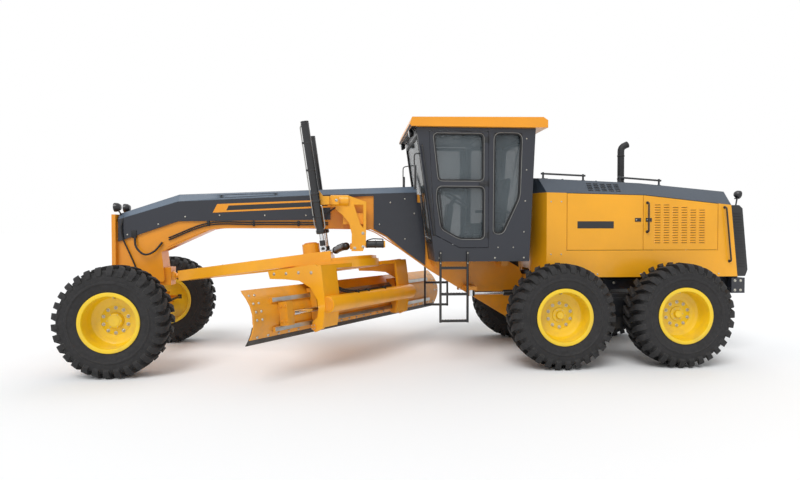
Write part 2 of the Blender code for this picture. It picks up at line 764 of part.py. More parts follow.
def build_cab(front):
    shell = plate(cab_outline(0.0), "Y", (-CAB_HALF, CAB_HALF))
    room = plate(cab_outline(CAB_WALL), "Y", (CAB_WALL - CAB_HALF, CAB_HALF - CAB_WALL))
    doorway = plate(grown(DOOR_EDGE, DOOR_GAP), "Y", (-1.0, 1.0))
    quarter = plate(QUARTER_WINDOW, "Y", (-1.0, 1.0))
    windscreen_hole = box((-0.3, 0.4), (0.07 - CAB_HALF, CAB_HALF - 0.07), (1.56, 2.93))
    rear_hole = box((-1.6, -1.2), (0.12 - CAB_HALF, CAB_HALF - 0.12), (1.62, 2.93))
    node(
        "cab_body",
        "dark_paint",
        [shell],
        [room, doorway, quarter, windscreen_hole, rear_hole],
        on=front,
    )

    sits = CAB_TOP + TOUCH
    roof = [(0.25, 3.06), (0.22, 3.15), (-1.47, 3.17), (-1.53, 3.13), (-1.53, sits), (0.23, sits)]
    node("cab_roof", "yellow_paint", [plate(roof, "Y", (-0.87, 0.87))], on=front)

    def leaning_sheet(face_x, low, high, half, thick):
        return plate(
            [
                (face_x(low), low),
                (face_x(high), high),
                (face_x(high) + thick, high),
                (face_x(low) + thick, low),
            ],
            "Y",
            (-half, half),
        )

    pane = 0.008
    clear = TOUCH * 2
    screen_half = CAB_HALF - 0.07 - clear
    screen = leaning_sheet(
        lambda z: cab_front_x(z) - 0.02, 1.56 + clear, 2.93 - clear, screen_half, pane
    )
    node("windscreen", "glass", [screen], on=front)

    def inside_rear_x(z):
        return cab_rear_x(z) + CAB_WALL + clear

    back = leaning_sheet(inside_rear_x, 1.60, 2.95, CAB_HALF - CAB_WALL - clear, pane)
    sides = []
    for side in (LEFT, RIGHT):
        glass = [(-0.81, 2.97), (inside_rear_x(2.95), 2.95), (inside_rear_x(1.66), 1.66), (-0.81, 1.66)]
        span = (side * (CAB_HALF - CAB_WALL - clear - pane), side * (CAB_HALF - CAB_WALL - clear))
        sides.append(plate(glass, "Y", span))
    node("cab_rear_glass", "glass", [back, *sides], on=front)

    floor = CAB_BOTTOM + CAB_WALL + TOUCH
    backrest = [(-1.02, floor + 0.40), (-1.18, floor + 0.40), (-1.27, floor + 1.10), (-1.15, floor + 1.10)]
    seat = [
        box((-1.05, -0.75), (-0.20, 0.20), (floor, floor + 0.32)),
        box((-1.15, -0.62), (-0.26, 0.26), (floor + 0.30, floor + 0.46)),
        plate(backrest, "Y", (-0.24, 0.24)),
    ]
    node("operator_seat", "seat_trim", seat, on=front)
    post = [(-0.36, floor + 0.05), (-0.26, floor + 0.05), (-0.36, floor + 0.72), (-0.44, floor + 0.68)]
    column = [
        box((-0.40, -0.22), (-0.14, 0.14), (floor, floor + 0.10)),
        plate(post, "Y", (-0.10, 0.10)),
        rod((-0.40, 0, floor + 0.68), (-0.47, 0, floor + 0.79), 0.03, 12),
    ]
    wheel_ring = turned([(0.21, 0.015), (0.21, -0.015), (0.17, -0.015), (0.17, 0.015)], 20)
    tilt = Vector((-0.07, 0, 0.11)).to_track_quat("Z", "Y").to_matrix().to_4x4()
    place = Matrix.Translation((-0.47, 0, floor + 0.79)) @ tilt
    moved(wheel_ring, place)
    spoke = moved(box((-0.19, 0.19), (-0.025, 0.025), (-0.012, 0.012)), place)
    node("steering_console", "black_paint", [*column, wheel_ring, spoke], on=front)

    for side in (LEFT, RIGHT):
        name = side_name(side)
        swing = joint(f"cab_door_{name}_hinge", (DOOR_REAR_X, side * CAB_HALF, DOOR_LOW), (0, 0, side), front)
        span = (side * (CAB_HALF - 0.045), side * CAB_HALF)
        leaf = plate(DOOR_EDGE, "Y", span, [UPPER_WINDOW, LOWER_WINDOW])
        node(f"cab_door_{name}", "dark_paint", [leaf], on=swing)
        pane_rear = DOOR_REAR_X + 0.02
        pane_edge = [
            (pane_rear, 1.54),
            (-0.39, 1.54),
            (-0.13, 1.68),
            (-0.085, 2.15),
            (-0.05, 2.965),
            (pane_rear, 2.965),
        ]
        inner = CAB_HALF - 0.045 - TOUCH
        sheet = plate(pane_edge, "Y", (side * (inner - pane), side * inner))
        node(f"door_glass_{name}", "glass", [sheet], on=swing)


def build_ladders(front):
    """Rungs below each cab door, on two tubes bolted up the cab's skirt."""
    tube = 0.016
    for side in (LEFT, RIGHT):
        y = side * (CAB_HALF + TOUCH + tube)
        pieces = []
        for x in (-0.15, -0.50):
            pieces.append(rod((x, y, 0.54), (x, y, 1.45), tube, 8))
        for z in (0.556, 0.90, 1.235):
            pieces.append(rod((-0.15, y, z), (-0.50, y, z), tube * 0.9, 8))
        node(f"cab_step_{side_name(side)}", "black_paint", pieces, on=front)


# ---- Front axle ---------------------------------------------------------------------------------


def build_front_axle(front):
    x = FRONT_AXLE_X
    beam_z = (AXLE_Z - BEAM_HALF, AXLE_Z + BEAM_HALF)
    pieces = [
        box((x - BEAM_HALF, x + BEAM_HALF), (-LEAN_PIN_Y, LEAN_PIN_Y), beam_z),
        box((x - 0.075, x + 0.075), (-0.14, 0.14), (AXLE_Z, 0.72)),
    ]
    for side in (LEFT, RIGHT):
        y = side * LEAN_PIN_Y
        pieces.append(rod((x - BEAM_HALF, y, AXLE_Z), (x + BEAM_HALF, y, AXLE_Z), BEAM_HALF, 24))
        pieces.append(rod((x - 0.12, y, AXLE_Z), (x + 0.12, y, AXLE_Z), 0.03, 24))
    node("front_axle", "orange_paint", pieces, on=front)

    leans = {}
    for side in (LEFT, RIGHT):
        name = side_name(side)
        lean = joint(f"wheel_lean_{name}", (x, side * LEAN_PIN_Y, AXLE_Z), (1, 0, 0), front)
        leans[side] = lean
        ear_in = BEAM_HALF + RUNNING
        ear_out = ear_in + 0.03

        def ys(outline):
            return [(side * y, z) for y, z in outline]

        front_ear = [
            (0.57, 0.55),
            (0.60, 0.53),
            (0.76, 0.50),
            (0.76, 0.72),
            (0.66, 0.87),
            (0.60, 0.89),
            (0.565, 0.86),
            (0.565, 0.66),
        ]
        rear_ear = [(0.57, 0.55), (0.60, 0.53), (0.76, 0.50), (0.76, 0.67), (0.60, 0.66), (0.57, 0.64)]
        pieces = [
            plate(ys(front_ear), "X", (x + ear_in, x + ear_out)),
            plate(ys(rear_ear), "X", (x - ear_out, x - ear_in)),
            box((x - ear_out + 0.001, x + ear_out - 0.001), (side * 0.72, side * 0.765), (0.505, 0.665)),
            box((x - 0.05, x + 0.05), (side * 0.721, side * 0.77), (0.501, 0.799)),
            rod(
                (x + ear_in + 0.01, side * LEAN_PIN_Y, LEAN_BAR_Z),
                (x + ear_out + 0.032, side * LEAN_PIN_Y, LEAN_BAR_Z),
                0.02,
                24,
            ),
        ]
        for low, high in ((0.50, 0.54), (0.76, 0.80)):
            pieces.append(rod((x, side * KINGPIN_Y, low), (x, side * KINGPIN_Y, high), 0.055, 24))
            pieces.append(box((x - 0.049, x + 0.049), (side * 0.74, side * KINGPIN_Y), (low + 0.002, high - 0.002)))
        cuts = [
            rod((x - 0.2, side * LEAN_PIN_Y, AXLE_Z), (x + 0.2, side * LEAN_PIN_Y, AXLE_Z), 0.0306, 24),
            rod((x, side * KINGPIN_Y, 0.4), (x, side * KINGPIN_Y, 0.9), 0.0256, 24),
        ]
        node(f"lean_bracket_{name}", "orange_paint", pieces, cuts, on=lean)

        steer = joint(f"steering_{name}", (x, side * KINGPIN_Y, TYRE_RADIUS), (0, 0, 1), lean)
        end = side * (TRACK / 2 + DISC_BACK - TOUCH)
        arm = [
            (x, 0.05),
            (x - 0.14, 0.05),
            (x - STEER_ARM + 0.02, 0.03),
            (x - STEER_ARM, 0.004),
            (x - STEER_ARM, -0.004),
            (x - STEER_ARM + 0.02, -0.02),
            (x - 0.12, 0.0),
            (x, 0.0),
        ]
        arm = [(u, side * (KINGPIN_Y + v)) for u, v in arm]
        pieces = [
            rod((x, side * KINGPIN_Y, 0.545), (x, side * KINGPIN_Y, 0.755), 0.05, 24),
            rod((x, side * KINGPIN_Y, 0.50), (x, side * KINGPIN_Y, 0.80), 0.025, 24),
            rod((x, side * KINGPIN_Y, TYRE_RADIUS), (x, end, TYRE_RADIUS), 0.06, 20),
            plate(arm, "Z", (TIE_ROD_Z - 0.015, TIE_ROD_Z + 0.015)),
        ]
        node(f"knuckle_{name}", "orange_paint", pieces, on=steer)
        wheel(f"front_wheel_{name}", (x, side * TRACK / 2, TYRE_RADIUS), side, steer)

    bar_joint = joint("lean_bar_pivot", (x, LEAN_PIN_Y, LEAN_BAR_Z), (1, 0, 0), leans[LEFT])
    bar_x = (x + BEAM_HALF + RUNNING + 0.03 + TOUCH, x + BEAM_HALF + RUNNING + 0.058)
    pieces = [box(bar_x, (-LEAN_PIN_Y, LEAN_PIN_Y), (LEAN_BAR_Z - 0.025, LEAN_BAR_Z + 0.025))]
    cuts = []
    for side in (LEFT, RIGHT):
        y = side * LEAN_PIN_Y
        pieces.append(rod((bar_x[0], y, LEAN_BAR_Z), (bar_x[1], y, LEAN_BAR_Z), 0.035, 16))
        cuts.append(rod((x, y, LEAN_BAR_Z), (x + 0.3, y, LEAN_BAR_Z), 0.0205, 24))
    node("lean_bar", "black_paint", pieces, cuts, on=bar_joint)

    slide = joint("tie_rod_slide", (x - STEER_ARM, 0, TIE_ROD_Z), (0, 1, 0), front)
    radius = 0.018
    eye = 0.028
    rod_x = x - STEER_ARM - TOUCH - eye
    pieces = [rod((rod_x, -KINGPIN_Y, TIE_ROD_Z), (rod_x, KINGPIN_Y, TIE_ROD_Z), radius, 12)]
    for side in (LEFT, RIGHT):
        y = side * KINGPIN_Y
        pieces.append(rod((rod_x, y, TIE_ROD_Z - 0.03), (rod_x, y, TIE_ROD_Z + 0.03), eye, 16))
    node("tie_rod", "dark_steel", pieces, on=slide)


# ---- Cylinders ----------------------------------------------------------------------------------


def cylinder_pair(name, barrel_eye, rod_eye, parent, sizes, hinge_axis, pieces=(), rod_pieces=()):
    """A barrel on its pin and the rod that slides in it.

    sizes are: barrel radius, rod radius, barrel reach behind its eye, barrel reach towards the rod,
    and how far the rod can still slide in from rest.
    """
    barrel_radius, rod_radius, behind, ahead, slide_in = sizes
    start, end = Vector(barrel_eye), Vector(rod_eye)
    along = (end - start).normalized()
    hinge = joint(f"{name}_pivot", start, hinge_axis, parent)
    mouth = start + along * ahead
    tail = start - along * behind
    bore = rod(mouth - along * (ahead + behind - 0.03), mouth + along * 0.02, rod_radius + 0.0008, 16)
    body = rod(tail, mouth, barrel_radius, 16)
    node(f"{name}_barrel", "black_paint", [body, *pieces], [bore], on=hinge)
    slide = joint(f"{name}_slide", start, along, hinge)
    inside = ahead + behind - 0.06 - slide_in
    shaft = rod(mouth - along * inside, end - along * 0.01, rod_radius, 16)
    node(f"{name}_rod", "polished_steel", [shaft, *rod_pieces], on=slide)


def build_articulation_cylinders():
    for side in (LEFT, RIGHT):
        z = RAIL_LOW - 0.0425
        barrel_eye = Vector((STEER_EYE_REAR_X, side * STEER_EYE_Y, z))
        rod_eye = Vector((STEER_EYE_FRONT_X, side * STEER_EYE_Y, z))
        upright = Vector((0, 0, 1))
        rear_boss = rod(barrel_eye - upright * 0.04, barrel_eye + upright * (0.0425 - TOUCH), 0.05, 16)
        front_boss = rod(rod_eye - upright * 0.04, rod_eye + upright * (0.0425 - TOUCH), 0.05, 16)
        cylinder_pair(
            f"articulation_{side_name(side)}",
            barrel_eye,
            rod_eye,
            None,
            (0.04, 0.022, 0.0, 0.88, 0.18),
            (0, 0, 1),
            [rear_boss],
            [front_boss],
        )


# ---- Drawbar, circle and blade --------------------------------------------------------------------

# The drawbar's own frame: origin over the circle's centre, +X to the ball, +Z square to the ring
DRAWBAR_FRAME = (
    Matrix.Translation(CIRCLE_CENTRE)
    @ Matrix.Rotation(DRAWBAR_PITCH, 4, "Y")
    @ Matrix.Rotation(DRAWBAR_ROLL, 4, "X")
)
BLADE_FRAME = DRAWBAR_FRAME @ Matrix.Rotation(-BLADE_ANGLE, 4, "Z")


def build_drawbar(front):
    lift = joint("drawbar_lift", BALL, (0, 1, 0), front)
    tip = DRAWBAR_FRAME.inverted() @ BALL
    high = DRAWBAR_DEPTH
    apex = tip.x - 0.10
    frame_outline = [
        (apex, 0.075),
        (apex - 0.20, 0.16),
        (0.10, 0.66),
        (-0.07, 0.66),
        (-0.07, -0.66),
        (0.10, -0.66),
        (apex - 0.20, -0.16),
        (apex, -0.075),
    ]
    window = [(apex - 0.35, 0.07), (0.42, 0.47), (0.42, -0.47), (apex - 0.35, -0.07)]
    frame = plate(frame_outline, "Z", (0.0, high), [window])
    neck = rod((apex - 0.02, 0, high / 2), tip, 0.036, 16)
    deck = plate(arc((0, 0), CIRCLE_RADIUS - 0.03, 0, 330, 11), "Z", (0.001, 0.045))
    drive = rod((0.22, 0, 0.03), (0.22, 0, 0.30), 0.12, 20)
    pieces = [frame, neck, ball(tip, BALL_RADIUS, (0, 1, 0)), deck, drive]
    node("drawbar", "yellow_paint", pieces, on=lift, frame=DRAWBAR_FRAME)
    return lift


def build_circle(lift):
    """The toothed ring under the drawbar, with the two arms and the tube that carry the blade."""
    centre = DRAWBAR_FRAME.translation
    upright = DRAWBAR_FRAME.to_3x3() @ Vector((0, 0, 1))
    turn = joint("circle_rotation", centre, upright, lift)
    top = -TOUCH
    low = top - CIRCLE_DEPTH
    ring = turned([(CIRCLE_RADIUS, top), (CIRCLE_RADIUS, low), (CIRCLE_BORE, low), (CIRCLE_BORE, top)], 32)
    pieces = [ring]
    back = ARM_BACK_X
    arm = [
        (0.20, -0.03),
        (0.18, -0.13),
        (-0.08, -0.16),
        (-0.30, -0.20),
        (-0.46, -0.30),
        (-0.545, -0.45),
        (-0.55, -0.56),
        (-0.52, -0.66),
        (-0.45, -0.70),
        (-0.435, -0.71),
        (-0.43, -0.80),
        (-0.46, -0.835),
        (-0.58, -0.80),
        (back, -0.52),
        (back, -0.12),
        (back + 0.09, -0.03),
    ]
    for side in (LEFT, RIGHT):
        pieces.append(plate(arm, "Y", (side * (ARM_Y - ARM_PLATE), side * ARM_Y)))
        flange = [
            (back + 0.001, -0.05),
            (back + 0.035, -0.05),
            (back + 0.035, -0.54),
            (-0.54, -0.79),
            (-0.575, -0.79),
            (back + 0.001, -0.53),
        ]
        pieces.append(plate(flange, "Y", (side * 0.70, side * (ARM_Y - 0.001))))
        pieces.append(box((back + 0.01, 0.16), (side * 0.36, side * (ARM_Y - 0.002)), (-0.095, -0.045)))
    tube = 0.10
    tube_x = back - 0.02
    pieces.append(rod((tube_x, -0.98, -0.52), (tube_x, 0.98, -0.52), tube, 20))
    node("circle", "yellow_paint", pieces, on=turn, frame=BLADE_FRAME)
    return turn


def blade_face(height):
    """How far back the moldboard bows at a height."""
    middle = (EDGE_LOW + BLADE_HIGH) / 2
    half = (BLADE_HIGH - EDGE_LOW) / 2
    share = (height - middle) / half
    return BLADE_X - BLADE_BOW * (1 - share * share)


def bowed_sheet(low, high, thick, count):
    heights = [low + (high - low) * i / count for i in range(count + 1)]
    face = [(blade_face(height), height) for height in heights]
    back = [(x - thick, height) for x, height in reversed(face)]
    return face + back


def build_blade(turn):
    across = BLADE_FRAME.to_3x3() @ Vector((0, 1, 0))
    pin = BLADE_FRAME @ Vector((TILT_X, 0, TILT_Z))
    tilt = joint("blade_pitch", pin, across, turn)
    # Carrier: two clamp plates between the arms, joined by the side-shift barrel
    jaw_in, jaw_out = 0.86, ARM_Y - ARM_PLATE - RUNNING
    rails = {"upper": (-0.385, 0.03), "lower": (-0.715, 0.03)}
    rail_back = -0.405
    pieces = []
    jaw = [
        (-0.36, -0.30),
        (-0.36, rails["upper"][0] + 0.03 + RUNNING),
        (rail_back - RUNNING, rails["upper"][0] + 0.03 + RUNNING),
        (rail_back - RUNNING, rails["upper"][0] - 0.03 - RUNNING),
        (-0.395, rails["upper"][0] - 0.03 - RUNNING),
        (-0.42, -0.55),
        (-0.395, rails["lower"][0] + 0.03 + RUNNING),
        (rail_back - RUNNING, rails["lower"][0] + 0.03 + RUNNING),
        (rail_back - RUNNING, rails["lower"][0] - 0.03 - RUNNING),
        (-0.37, rails["lower"][0] - 0.03 - RUNNING),
        (-0.37, -0.80),
        (-0.46, -0.82),
        (-0.50, -0.78),
        (-0.50, -0.34),
        (-0.47, -0.30),
    ]
    for side in (LEFT, RIGHT):
        pieces.append(plate(jaw, "Y", (side * jaw_in, side * jaw_out)))
        pin_end = side * (jaw_out + RUNNING - TOUCH)
        pieces.append(rod((TILT_X, side * jaw_in, TILT_Z), (TILT_X, pin_end, TILT_Z), 0.025, 16))
    barrel_end = jaw_in + 0.02
    barrel = rod(
        (SIDE_SHIFT_X, -barrel_end, SIDE_SHIFT_Z), (SIDE_SHIFT_X, barrel_end, SIDE_SHIFT_Z), 0.05, 16
    )
    bore = rod((SIDE_SHIFT_X, -0.70, SIDE_SHIFT_Z), (SIDE_SHIFT_X, 1.1, SIDE_SHIFT_Z), 0.0306, 20)
    node("blade_carrier", "yellow_paint", [barrel, *pieces], [bore], on=tilt, frame=BLADE_FRAME)

    shift = joint("blade_side_shift", BLADE_FRAME @ Vector((SIDE_SHIFT_X, 0, SIDE_SHIFT_Z)), across, tilt)
    ends = (BLADE_SHIFT - BLADE_LENGTH / 2, BLADE_SHIFT + BLADE_LENGTH / 2)
    sheet = plate(bowed_sheet(BLADE_LOW, BLADE_HIGH, BLADE_SHEET, BLADE_FACETS), "Y", ends)
    pieces = [sheet]
    for height, half in rails.values():
        face = min(blade_face(height - half), blade_face(height + half)) - 0.006
        pieces.append(box((rail_back, face), (ends[0] + 0.30, ends[1] - 0.30), (height - half, height + half)))
    bracket = box((-0.53, blade_face(SIDE_SHIFT_Z) - 0.01), (1.42, 1.52), (-0.69, -0.42))
    ram = rod((SIDE_SHIFT_X, -0.35, SIDE_SHIFT_Z), (SIDE_SHIFT_X, 1.45, SIDE_SHIFT_Z), 0.03, 20)
    node("moldboard", "yellow_paint", [*pieces, bracket, ram], on=shift, frame=BLADE_FRAME)
    # The edge is bolted over the moldboard's lowest quarter and reaches below it
    step = (BLADE_HIGH - BLADE_LOW) / BLADE_FACETS
    lapped = [BLADE_LOW, BLADE_LOW + step, BLADE_LOW + 2 * step]
    front = [(blade_face(z) + EDGE_SHEET, z) for z in [EDGE_LOW, *lapped]]
    clear = 2 * TOUCH
    seat = [(blade_face(z) + clear, z) for z in reversed(lapped[1:])]
    foot = [
        (blade_face(BLADE_LOW) + clear, BLADE_LOW - clear),
        (blade_face(BLADE_LOW) - BLADE_SHEET, BLADE_LOW - clear),
        (blade_face(EDGE_LOW) - EDGE_SHEET, EDGE_LOW),
    ]
    node("cutting_edge", "dark_steel", [plate(front + seat + foot, "Y", ends)], on=shift, frame=BLADE_FRAME)


def stud(x, y, along):
    """A rod's eye lying on top of the drawbar: its centre, and a round piece through it."""
    middle = Vector((x, y, DRAWBAR_DEPTH + STUD_RADIUS + TOUCH))
    reach = Vector(along) * STUD_HALF
    return DRAWBAR_FRAME @ middle, (DRAWBAR_FRAME @ (middle - reach), DRAWBAR_FRAME @ (middle + reach))


def build_lift_cylinders(front):
    for side in (LEFT, RIGHT):
        top = Vector((LIFT_TRUNNION[0], side * LIFT_Y, LIFT_TRUNNION[1]))
        eye, ends = stud(LIFT_EYE_X - CIRCLE_CENTRE.x - 0.02, side * LIFT_Y, (0, 1, 0))
        inner = side * (LIFT_Y - LIFT_BARREL - 0.02 + TOUCH)
        trunnion = rod((top.x, inner, top.z), (top.x, side * LIFT_Y, top.z), 0.04, 16)
        cylinder_pair(
            f"lift_{side_name(side)}",
            top,
            eye,
            front,
            (LIFT_BARREL, LIFT_ROD, LIFT_TOP, LIFT_BOTTOM, 0.0),
            (0, 1, 0),
            [trunnion],
            [rod(*ends, STUD_RADIUS, 16)],
        )


def build_centre_shift(front):
    """The cylinder from the saddle's link to the drawbar's right rear corner."""
    start = SHIFT_PIVOT
    end, ends = stud(-0.02, -0.42, (1, 0, 0))
    lowered = Vector((0.02, 0, -0.765))  # how far the eye drops with the blade down
    axis = (end - start).cross(end + lowered - start).normalized()
    boss = ball(start, start.x - SHIFT_PAD_X - TOUCH, axis)
    sizes = (0.045, 0.024, 0.0, 0.45, 0.0)
    cylinder_pair("centre_shift", start, end, front, sizes, axis, [boss], [rod(*ends, STUD_RADIUS, 16)])


# ---- The machine ------------------------------------------------------------------------------------


def build():
    build_rear_frame()
    build_tandem_drive()
    build_engine()
    build_hood()
    front = joint("articulation", (PIVOT_X, 0, TONGUE_LOW), (0, 0, 1))
    build_front_frame(front)
    build_boom_cover(front)
    build_lift_saddle(front)
    build_cab(front)
    build_ladders(front)
    build_front_axle(front)
    build_articulation_cylinders()
    lift = build_drawbar(front)
    turn = build_circle(lift)
    build_blade(turn)
    build_lift_cylinders(front)
    build_centre_shift(front)


build()
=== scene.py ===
"""Looks for the motor grader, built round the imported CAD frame: metres, +X forward, +Y left, +Z up."""

import math

import bmesh
import bpy
from mathutils import Matrix, Vector, noise


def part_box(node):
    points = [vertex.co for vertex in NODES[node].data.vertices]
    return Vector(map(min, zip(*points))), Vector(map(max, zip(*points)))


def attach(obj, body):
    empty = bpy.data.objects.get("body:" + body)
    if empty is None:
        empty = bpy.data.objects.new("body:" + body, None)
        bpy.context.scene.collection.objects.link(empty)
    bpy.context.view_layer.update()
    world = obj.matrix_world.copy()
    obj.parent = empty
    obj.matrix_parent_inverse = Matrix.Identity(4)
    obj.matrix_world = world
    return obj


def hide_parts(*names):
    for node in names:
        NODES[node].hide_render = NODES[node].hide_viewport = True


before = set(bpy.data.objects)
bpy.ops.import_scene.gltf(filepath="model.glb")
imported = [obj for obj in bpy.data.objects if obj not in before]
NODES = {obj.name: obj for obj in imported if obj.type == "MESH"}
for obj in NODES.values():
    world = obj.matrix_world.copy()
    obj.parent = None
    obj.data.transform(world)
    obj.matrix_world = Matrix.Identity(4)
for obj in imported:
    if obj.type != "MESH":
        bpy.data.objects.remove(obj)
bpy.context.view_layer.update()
SIDES = (("left", 1), ("right", -1))

# ---- Sizes repeated from the CAD (metres) ---------------------------------------------------

TYRE_RADIUS = 0.655
TYRE_HALF = 0.2225
WHEELS = {
    "front_wheel_left": (3.77, 1.0775, 1),
    "front_wheel_right": (3.77, -1.0775, -1),
    "mid_wheel_left": (-1.625, 1.0775, 1),
    "mid_wheel_right": (-1.625, -1.0775, -1),
    "rear_wheel_left": (-3.165, 1.0775, 1),
    "rear_wheel_right": (-3.165, -1.0775, -1),
}

# ---- Camera, floor and light -----------------------------------------------------------------

scene = bpy.context.scene
scene.view_settings.view_transform = "Standard"

camera = bpy.data.objects.new("camera", bpy.data.cameras.new("camera"))
scene.collection.objects.link(camera)
camera.location = (0.963, 8.272, 1.752)
camera.rotation_euler = Vector((-0.0794, -0.9966, -0.0206)).to_track_quat("-Z", "Y").to_euler()
camera.data.lens = 26.54
camera.data.sensor_width = 36.0
camera.data.clip_end = 400.0
scene.camera = camera


def lamp(name, kind, place, target, energy, size):
    light = bpy.data.lights.new(name, kind)
    light.energy = energy
    if kind == "SUN":
        light.angle = size
    else:
        light.shape = "DISK"
        light.size = size
    found = bpy.data.objects.new(name, light)
    scene.collection.objects.link(found)
    found.location = place
    found.rotation_euler = (Vector(target) - Vector(place)).to_track_quat("-Z", "Y").to_euler()
    return found


lamp("key", "SUN", (3.0, 7.0, 9.0), (0.0, 0.0, 0.0), 1.55, math.radians(32))
lamp("back", "SUN", (-4.0, -7.0, 7.0), (0.0, 0.0, 0.0), 0.45, math.radians(50))

world = bpy.data.worlds.new("studio")
scene.world = world
world.use_nodes = True
tree = world.node_tree
tree.nodes.clear()
out = tree.nodes.new("ShaderNodeOutputWorld")
mix = tree.nodes.new("ShaderNodeMixShader")
seen = tree.nodes.new("ShaderNodeBackground")
seen.inputs["Color"].default_value = (1.0, 1.0, 1.0, 1.0)
seen.inputs["Strength"].default_value = 1.0
lighting = tree.nodes.new("ShaderNodeBackground")
lighting.inputs["Color"].default_value = (0.96, 0.98, 1.0, 1.0)
lighting.inputs["Strength"].default_value = 0.62
path = tree.nodes.new("ShaderNodeLightPath")
# The white is seen directly, through glass and in shiny surfaces
either = tree.nodes.new("ShaderNodeMath")
either.operation = "MAXIMUM"
tree.links.new(path.outputs["Is Camera Ray"], either.inputs[0])
tree.links.new(path.outputs["Is Transmission Ray"], either.inputs[1])
any_of = tree.nodes.new("ShaderNodeMath")
any_of.operation = "MAXIMUM"
tree.links.new(either.outputs[0], any_of.inputs[0])
tree.links.new(path.outputs["Is Glossy Ray"], any_of.inputs[1])
tree.links.new(any_of.outputs[0], mix.inputs["Fac"])
tree.links.new(lighting.outputs[0], mix.inputs[1])
tree.links.new(seen.outputs[0], mix.inputs[2])
tree.links.new(mix.outputs[0], out.inputs["Surface"])


def ground():
    mesh = bpy.data.meshes.new("floor")
    reach = 160.0
    mesh.from_pydata(
        [(-reach, -reach, 0), (reach, -reach, 0), (reach, reach, 0), (-reach, reach, 0)],
        [],
        [(0, 1, 2, 3)],
    )
    floor = bpy.data.objects.new("floor", mesh)
    scene.collection.objects.link(floor)
    made = bpy.data.materials.new("pale_floor")
    made.use_nodes = True
    shader = made.node_tree.nodes["Principled BSDF"]
    shader.inputs["Base Color"].default_value = (0.97, 0.97, 0.97, 1.0)
    shader.inputs["Roughness"].default_value = 0.9
    shader.inputs["Specular IOR Level"].default_value = 0.1
    mesh.materials.append(made)


ground()

# ---- Materials ---------------------------------------------------------------------------------


def rgb(code):
    """Linear colour of a six-digit screen colour."""
    found = []
    for at in (0, 2, 4):
        value = int(code[at : at + 2], 16) / 255
        found.append(value / 12.92 if value <= 0.04045 else ((value + 0.055) / 1.055) ** 2.4)
    return tuple(found)


def scaled(colour, by):
    return tuple(min(1.0, channel * by) for channel in colour)


class Graph:
    """A material's node tree, with short calls for the nodes used here."""

    def __init__(self, name):
        self.material = bpy.data.materials.new(name)
        self.material.use_nodes = True
        self.tree = self.material.node_tree
        self.shader = self.tree.nodes["Principled BSDF"]
        coordinates = self.tree.nodes.new("ShaderNodeTexCoord")
        self.place = coordinates.outputs["Object"]

    def join(self, source, target):
        self.tree.links.new(source, target)

    def noise(self, scale, detail=3.0, rough=0.5, stretch=None):
        made = self.tree.nodes.new("ShaderNodeTexNoise")
        made.inputs["Scale"].default_value = scale
        made.inputs["Detail"].default_value = detail
        made.inputs["Roughness"].default_value = rough
        place = self.place
        if stretch:
            mapping = self.tree.nodes.new("ShaderNodeMapping")
            mapping.inputs["Scale"].default_value = stretch
            self.join(self.place, mapping.inputs["Vector"])
            place = mapping.outputs["Vector"]
        self.join(place, made.inputs["Vector"])
        return made.outputs["Fac"]

    def ranged(self, source, low, high, to_low=0.0, to_high=1.0):
        made = self.tree.nodes.new("ShaderNodeMapRange")
        made.inputs["From Min"].default_value = low
        made.inputs["From Max"].default_value = high
        made.inputs["To Min"].default_value = to_low
        made.inputs["To Max"].default_value = to_high
        self.join(source, made.inputs["Value"])
        return made.outputs["Result"]

    def maths(self, operation, first, second):
        made = self.tree.nodes.new("ShaderNodeMath")
        made.operation = operation
        for at, value in enumerate((first, second)):
            if isinstance(value, (int, float)):
                made.inputs[at].default_value = value
            else:
                self.join(value, made.inputs[at])
        return made.outputs[0]

    def mixed(self, share, first, second):
        made = self.tree.nodes.new("ShaderNodeMix")
        made.data_type = "RGBA"
        self.join(share, made.inputs["Factor"])
        for key, value in ((6, first), (7, second)):
            if isinstance(value, tuple):
                made.inputs[key].default_value = (*value, 1.0)
            else:
                self.join(value, made.inputs[key])
        return made.outputs[2]

    def axis(self, name):
        made = self.tree.nodes.new("ShaderNodeSeparateXYZ")
        self.join(self.place, made.inputs[0])
        return made.outputs[name]

    def edges(self, radius):
        """Nearer 1 where the surface turns: the rounded normal against the true one."""
        bevel = self.tree.nodes.new("ShaderNodeBevel")
        bevel.samples = 4
        bevel.inputs["Radius"].default_value = radius
        true = self.tree.nodes.new("ShaderNodeNewGeometry")
        dot = self.tree.nodes.new("ShaderNodeVectorMath")
        dot.operation = "DOT_PRODUCT"
        self.join(bevel.outputs[0], dot.inputs[0])
        self.join(true.outputs["Normal"], dot.inputs[1])
        return self.ranged(dot.outputs["Value"], 0.985, 0.72), bevel.outputs[0]

    def bump(self, height, strength, distance, normal=None):
        made = self.tree.nodes.new("ShaderNodeBump")
        made.inputs["Strength"].default_value = strength
        made.inputs["Distance"].default_value = distance
        self.join(height, made.inputs["Height"])
        if normal is not None:
            self.join(normal, made.inputs["Normal"])
        self.join(made.outputs["Normal"], self.shader.inputs["Normal"])


